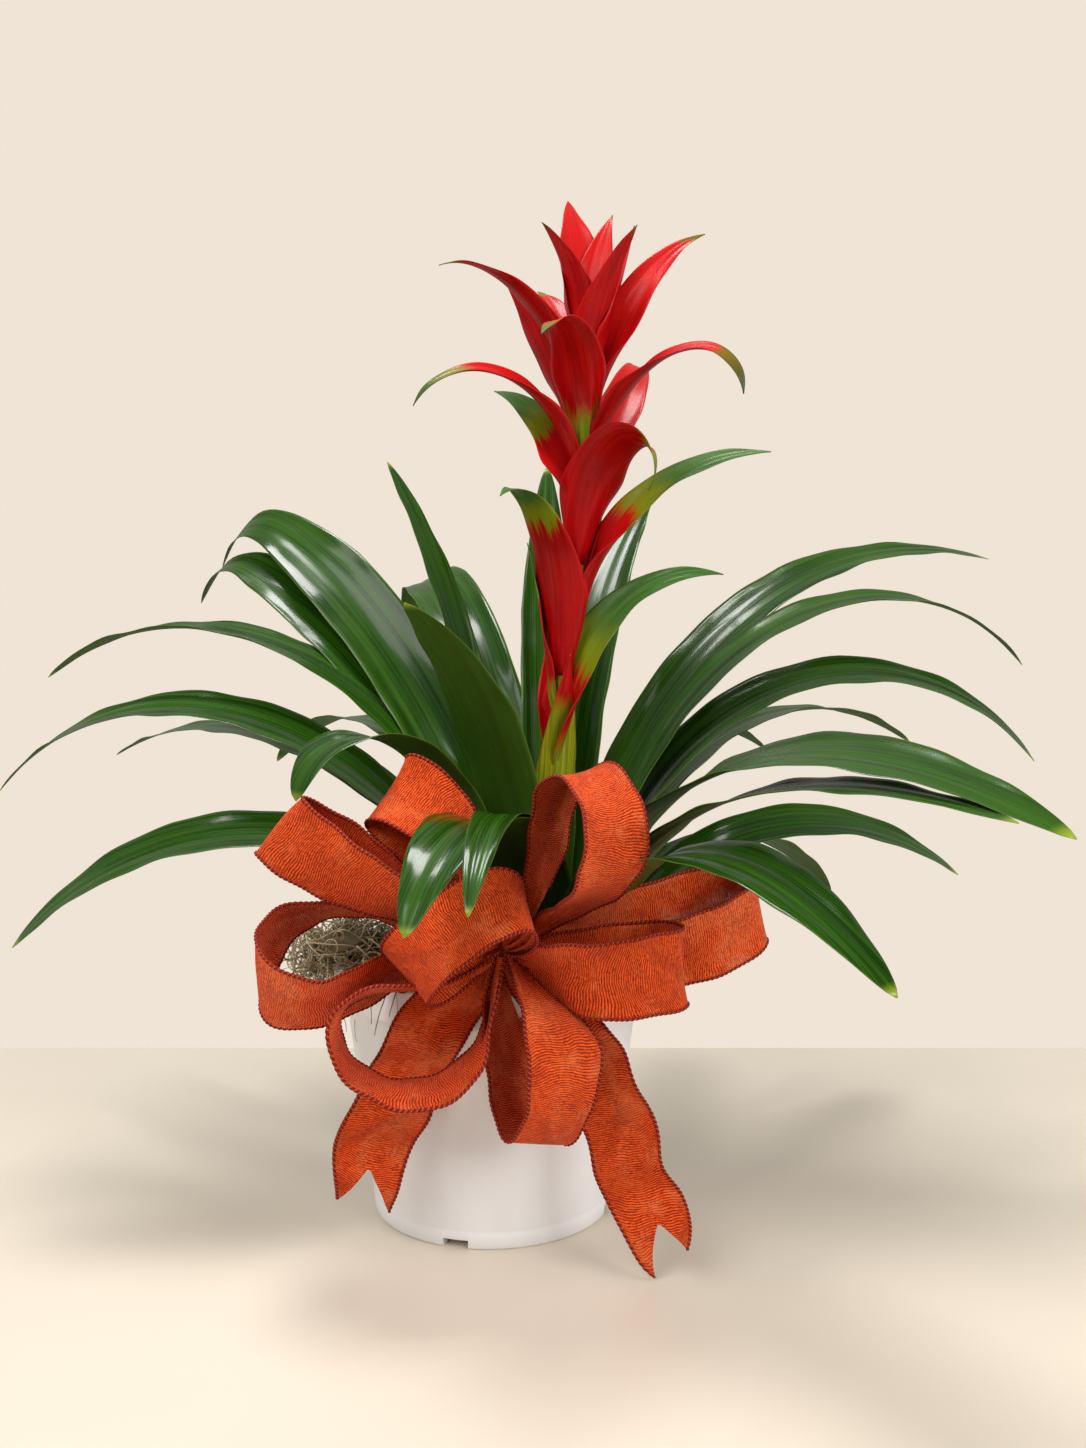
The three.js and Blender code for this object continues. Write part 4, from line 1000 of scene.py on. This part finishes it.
def make_pot(paint):
    """The pot: its profile turned round the axis, with the foot ring lifted at each drain notch.

    Radius and height depend on the profile point, and in a notch's width the points of the foot ring
    lie no lower than the notch is high. The turn has its own closely set steps at the notch sides.
    """
    radius, height = pot_profile().T
    centres = FIRST_NOTCH + circle(NOTCH_COUNT)
    half = NOTCH_WIDTH / 2 / POT_BASE_R
    sides = (centres[:, None] + (-half - 0.004, -half, half, half + 0.004)).ravel()
    angle = np.sort(np.concatenate([circle(200), sides % TURN]))[:, None]
    apart = np.abs((angle - centres + TURN / 2) % TURN - TURN / 2).min(axis=1)
    notched = (apart < half + 1e-6)[:, None]
    foot_ring = (radius > 0.0555) & (height < NOTCH_HEIGHT) & (np.arange(len(radius)) < 20)
    z = np.where(foot_ring & notched, NOTCH_HEIGHT, height)
    turns, count = z.shape
    turn, k = np.meshgrid(np.arange(turns), np.arange(count - 1), indexing="ij")
    here, ahead = turn * count + k, (turn + 1) % turns * count + k
    walls = np.stack([here, ahead, ahead + 1, here + 1], -1).reshape(-1, 4)
    here, ahead = here[:, 0], ahead[:, 0]
    middle = np.full(turns, turns * count)
    caps = np.concatenate([np.stack([middle, ahead, here], -1),
                           np.stack([middle + 1, here + count - 1, ahead + count - 1], -1)])
    rings = xyz(radius * np.cos(angle), radius * np.sin(angle), z).reshape(-1, 3)
    points = np.concatenate([rings, ((0, 0, 0), (0, 0, FLOOR_TOP))])
    piece = make_piece("nursery_pot", "pot", [part(points, [walls, caps])], [paint])
    piece.data.set_sharp_from_angle(angle=math.radians(38))


def bark_chips(random, radius):
    """Flat six-sided boxes, each turned and sized at random, half sunk in the crumbs."""
    corner = np.array([(x, y, z) for z in (-1, 1) for x, y in ((-1, -1), (1, -1), (1, 1), (-1, 1))])
    size = random.uniform((0.0015, 0.001, 0.0005), (0.0045, 0.0025, 0.0012), (CHIP_COUNT, 3))
    away = (radius - 0.006) * np.sqrt(random.uniform(0.05, 1, CHIP_COUNT))
    turn, yaw, tilt = random.uniform(0, TURN, (3, CHIP_COUNT))
    box = corner * size[:, None] * random.uniform(0.75, 1.1, (CHIP_COUNT, 8, 1))
    box = turned(box, np.array((1.0, 0, 0)), np.tile(0.4 * np.sin(tilt)[:, None], 8))
    box = turned(box, np.array((0, 0, 1.0)), np.tile(yaw[:, None], 8))
    box = box + xyz(away * np.cos(turn), away * np.sin(turn), MIX_TOP + 0.001)[:, None]
    sides = np.array(
        ((3, 2, 1, 0), (4, 5, 6, 7), (0, 1, 5, 4), (1, 2, 6, 5), (2, 3, 7, 6), (3, 0, 4, 7)))
    return part(box, [(sides + 8 * np.arange(CHIP_COUNT)[:, None, None]).reshape(-1, 4)])


def make_mix(paint):
    """Growing mix: a disc whose top is crumbs, the sum of five seeded sine fields, and bark chips."""
    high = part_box("growing_mix")[1]
    radius = high.x - 0.0012
    random = np.random.default_rng(5)
    r = np.concatenate([np.linspace(0.0006, radius - 0.002, 60), (radius, radius - 0.001)])[:, None]
    x, y = r * np.cos(circle(180)), r * np.sin(circle(180))
    crown = np.hypot(x - CROWN[0], y - CROWN[1])
    z = MIX_TOP - CROWN_DIP * smooth((0.050 - crown) / 0.014)
    for wave in range(5):
        turn = random.uniform(0, np.pi)
        phase = random.uniform(0, 6.28, 2)
        pitch = 6.28 / (0.004 * 1.7**wave)
        a = (x * np.cos(turn) + y * np.sin(turn)) * pitch + phase[0]
        b = (y * np.cos(turn) - x * np.sin(turn)) * pitch + phase[1]
        z = z + 0.0004 * 1.15**wave * np.sin(a) * np.sin(b)
    z[-2], z[-1] = high.z - 0.006, high.z - 0.03
    x[-1], y[-1] = x[-1] * 0.97, y[-1] * 0.97
    disc = part(xyz(x, y, z)[::-1], [ring_faces(len(r), 180)])
    make_piece("growing_mix_crumbs", "growing_mix",
               [disc, bark_chips(random, radius)], [paint])


def moss_strands(random, count, lumps, longest, steps=26):
    """Curled strands, all worked out at once as an array (strand, step, xyz).

    A strand starts on a lump and keeps turning in a plane of its own: its heading's angle there is
    turns·t + sway·sin(2π·pulse·t + phase), so the points are the running sum of the headings. It
    sinks by 0.25·length·t² and drifts out of that plane by 0.15·length·t. Below the rim a strand
    that starts in the pot stays inside its wall, and one that starts outside stays out.
    """
    share = np.array([lump["share"] for lump in lumps])
    which = random.choice(len(lumps), count, p=share / share.sum())
    at = np.array([lump["at"] for lump in lumps])[which]
    size = np.array([lump["size"] for lump in lumps])[which]
    ball = unit(random.normal(size=(count, 3)))
    start = at + ball * size * random.uniform(0.35, 0.95, (count, 1))
    ahead = unit(ball * (1, 1, 0.6) + random.normal(scale=0.8, size=(count, 3)))
    beside = unit(np.cross(ahead, random.normal(size=(count, 3))))
    length = random.uniform(0.022, longest, (count, 1))
    turns = random.uniform(2.6, 9.5, (count, 1))
    sway = random.uniform(0.2, 1.1, (count, 1))
    pulse = random.uniform(0.6, 2.2, (count, 1))
    t = np.linspace(0, 1, steps + 1)
    angle = turns * t + sway * np.sin(TURN * pulse * t + random.uniform(0, 6.28, (count, 1)))
    angle = angle[..., None]
    run = (ahead[:, None] * np.cos(angle) + beside[:, None] * np.sin(angle)) * length[..., None] / steps
    drift = np.cross(ahead, beside)[:, None] * (0.15 * length * t)[..., None]
    points = start[:, None] + np.cumsum(run, axis=1) + drift
    points[..., 2] -= 0.25 * length * t**2
    out = np.linalg.norm(points[..., :2], axis=-1)
    inner = np.linalg.norm(start[:, :2], axis=-1)[:, None] < POT_TOP_R - 0.011
    kept = np.where(inner, np.minimum(out, POT_TOP_R - 0.006), np.maximum(out, POT_TOP_R + 0.002))
    below = points[..., 2] < POT_HEIGHT + 0.001
    points[..., :2] *= (np.where(below, kept, out) / out)[..., None]
    # How deep in its lump each point lies, which the moss paint turns into painted shade
    inside = np.linalg.norm((points - at[:, None]) / (size[:, None] * 1.1), axis=-1)
    return points, smooth((1.0 - inside) / 0.6)


def shaded_moss_hearts():
    """Dark bumpy heart of each lump, painted shade inside the tangle: an ellipsoid whose radius is 0.72
    + 0.1·sin 5a·sin 7b.
    """
    b = np.linspace(0.02, np.pi - 0.02, 20)[:, None]
    a = circle(32)
    grow = 0.72 + 0.1 * np.sin(5 * a) * np.sin(7 * b)
    ball = grow[..., None] * xyz(np.sin(b) * np.cos(a), np.sin(b) * np.sin(a), -np.cos(b))
    return [part(ball * lump["size"] + lump["at"], [ring_faces(20, 32)], strand=(0.3, 0.5, 1.0))
            for lump in MOSS_LUMPS]


def make_moss(paint):
    """Spanish moss: thin three-sided strands, which narrow as 1 - 0.6·t², out of the moss lumps."""
    random = np.random.default_rng(17)
    tangle = moss_strands(random, STRAND_COUNT, MOSS_LUMPS, 0.052)
    wisps = moss_strands(random, WISP_COUNT, MOSS_WISPS, 0.048)
    points, depth = (np.concatenate(both) for both in zip(tangle, wisps))
    points[..., 2] = np.maximum(points[..., 2], 0.085)
    strands, steps = depth.shape
    t = np.linspace(0, 1, steps)
    radius = random.uniform(0.00026, 0.00060, strands)[:, None] * (1 - 0.6 * t**2)
    seed = random.uniform(0, 1, strands)[:, None, None]
    ahead = unit(np.gradient(points, axis=1))
    beside = unit(np.cross(ahead, (0.31, 0.52, 0.8)))
    rings = tube(points, beside, np.cross(ahead, beside), radius[..., None], 3)
    first = 3 * steps * np.arange(strands)[:, None]
    walls = ring_faces(steps, 3)[:3 * (steps - 1)] + first[..., None]
    ends = np.concatenate([first + (2, 1, 0), first + 3 * (steps - 1) + (0, 1, 2)])
    threads = part(rings, [walls.reshape(-1, 4), ends], strand=(seed, t[:, None], depth[..., None]))
    make_piece("moss_tangle", "spanish_moss", [threads, *shaded_moss_hearts()], [paint])


def make_camera():
    """The photograph's view: a little right of the pot's axis, looking down by CAMERA_PITCH."""
    data = bpy.data.cameras.new("camera")
    data.sensor_width = 36.0
    data.lens = data.sensor_width * FOCAL_PIXELS / IMAGE_HEIGHT
    data.clip_start = 0.01
    camera = place_object("camera", data)
    camera.location = (CAMERA_X, -CAMERA_DISTANCE, CAMERA_HEIGHT)
    camera.rotation_euler = (math.radians(90) - CAMERA_PITCH, 0, 0)
    bpy.context.scene.camera = camera


def add_light(name, place, size, power, colour):
    """A square soft light that faces LIGHT_TARGET."""
    data = bpy.data.lights.new(name, "AREA")
    data.size = size
    data.energy = power
    data.color = colour
    lamp = place_object(name, data)
    away = place - LIGHT_TARGET
    lamp.location = place
    lamp.rotation_euler = (
        math.atan2(math.hypot(away[0], away[1]), away[2]), 0, math.atan2(away[0], -away[1]))


def make_floor(stage):
    """A plain pale slab whose back edge lies where the photograph's table ends."""
    paint = Paint("pale_floor", specular_ior_level=0.3)
    tone = paint.ramp(paint.noise(paint.place(), 3.0, 3.0), 0.3, 0.7)
    shade = tuple(channel * 0.94 for channel in stage.floor_colour)
    paint.set(base_color=paint.mix(tone, shade, stage.floor_colour), roughness=0.38)
    mesh = bpy.data.meshes.new("floor")
    x, y0, y1 = FLOOR_HALF_WIDTH, -FLOOR_FRONT, FLOOR_BACK
    mesh.from_pydata([(-x, y0, 0), (x, y0, 0), (x, y1, 0), (-x, y1, 0)], [], [(0, 1, 2, 3)])
    mesh.materials.append(paint.material)
    place_object("floor", mesh)


def make_world(stage):
    """Plain cream behind the object, and a dimmer warm white as light on it."""
    world = bpy.data.worlds.new("studio")
    bpy.context.scene.world = world
    world.use_nodes = True
    tree = world.node_tree
    seen = tree.nodes["Background"]
    seen.inputs["Color"].default_value = (*stage.backdrop, 1.0)
    lighting = tree.nodes.new("ShaderNodeBackground")
    lighting.inputs["Color"].default_value = (1.0, 0.95, 0.89, 1.0)
    lighting.inputs["Strength"].default_value = AMBIENT
    choose = tree.nodes.new("ShaderNodeMixShader")
    path = tree.nodes.new("ShaderNodeLightPath")
    tree.links.new(path.outputs["Is Camera Ray"], choose.inputs[0])
    tree.links.new(lighting.outputs[0], choose.inputs[1])
    tree.links.new(seen.outputs[0], choose.inputs[2])
    tree.links.new(choose.outputs[0], tree.nodes["World Output"].inputs["Surface"])


class BROMELIAD_OT_stage(bpy.types.Operator):
    """Make the camera, the soft studio light and the floor"""

    bl_idname = "bromeliad.stage"
    bl_label = "Stage"

    def execute(self, context):
        stage = context.scene.bromeliad_stage
        make_camera()
        make_floor(stage)
        make_world(stage)
        for light in LIGHTS:
            add_light(*light)
        context.scene.view_settings.view_transform = "Standard"
        return {"FINISHED"}


class BROMELIAD_OT_leaves(bpy.types.Operator):
    """Make the rosette's strap leaves"""

    bl_idname = "bromeliad.leaves"
    bl_label = "Leaves"

    def execute(self, context):
        plant = context.scene.bromeliad_plant
        paint = leaf_paint(plant)
        for rank, name in enumerate(LEAVES):
            make_leaf(plant, paint, name, rank)
        return {"FINISHED"}


class BROMELIAD_OT_spike(bpy.types.Operator):
    """Make the flower spike's stem and bracts"""

    bl_idname = "bromeliad.spike"
    bl_label = "Flower spike"

    def execute(self, context):
        make_spike(bract_paint(context.scene.bromeliad_plant))
        return {"FINISHED"}


class BROMELIAD_OT_bow(bpy.types.Operator):
    """Make the bow's loops, tails and pinch"""

    bl_idname = "bromeliad.bow"
    bl_label = "Bow"

    def execute(self, context):
        bow = context.scene.bromeliad_bow
        paints = [ribbon_paint(bow), edge_paint(bow)]
        make_pinch(paints[0])
        for name, ribbon in RIBBONS.items():
            make_ribbon(bow, paints, name, ribbon)
        return {"FINISHED"}


class BROMELIAD_OT_wire(bpy.types.Operator):
    """Make the bow's twisted wire"""

    bl_idname = "bromeliad.wire"
    bl_label = "Bow wire"

    def execute(self, context):
        make_wire(wire_paint())
        return {"FINISHED"}


class BROMELIAD_OT_pot(bpy.types.Operator):
    """Make the nursery pot and the growing mix in it"""

    bl_idname = "bromeliad.pot"
    bl_label = "Pot"

    def execute(self, context):
        pot = context.scene.bromeliad_pot
        make_pot(plastic_paint(pot))
        make_mix(mix_paint(pot))
        return {"FINISHED"}


class BROMELIAD_OT_moss(bpy.types.Operator):
    """Make the tangle of Spanish moss"""

    bl_idname = "bromeliad.moss"
    bl_label = "Moss"

    def execute(self, context):
        make_moss(moss_paint(context.scene.bromeliad_pot))
        return {"FINISHED"}


OPERATORS = (
    BROMELIAD_OT_stage, BROMELIAD_OT_pot, BROMELIAD_OT_moss, BROMELIAD_OT_leaves,
    BROMELIAD_OT_spike, BROMELIAD_OT_bow, BROMELIAD_OT_wire,
)
SETTINGS = {
    "bromeliad_plant": PlantSettings, "bromeliad_bow": BowSettings, "bromeliad_pot": PotSettings,
    "bromeliad_stage": StageSettings,
}


class BROMELIAD_PT_panel(bpy.types.Panel):
    """The pieces and their settings, in the 3D view's sidebar"""

    bl_label = "Bromeliad"
    bl_idname = "BROMELIAD_PT_panel"
    bl_space_type = "VIEW_3D"
    bl_region_type = "UI"
    bl_category = "Bromeliad"

    def draw(self, context):
        for name in SETTINGS:
            group = getattr(context.scene, name)
            box = self.layout.box()
            for key in group.__annotations__:
                box.prop(group, key)
        for operator in OPERATORS:
            self.layout.operator(operator.bl_idname)


def register():
    for group in SETTINGS.values():
        bpy.utils.register_class(group)
    for name, group in SETTINGS.items():
        setattr(bpy.types.Scene, name, bpy.props.PointerProperty(type=group))
    for kind in (*OPERATORS, BROMELIAD_PT_panel):
        bpy.utils.register_class(kind)


def unregister():
    for kind in (BROMELIAD_PT_panel, *reversed(OPERATORS)):
        bpy.utils.unregister_class(kind)
    for name, group in SETTINGS.items():
        delattr(bpy.types.Scene, name)
        bpy.utils.unregister_class(group)


def main():
    register()
    bpy.ops.bromeliad.stage()
    bpy.ops.bromeliad.pot()
    bpy.ops.bromeliad.moss()
    bpy.ops.bromeliad.leaves()
    bpy.ops.bromeliad.spike()
    bpy.ops.bromeliad.bow()
    bpy.ops.bromeliad.wire()


if __name__ == "__main__":
    main()
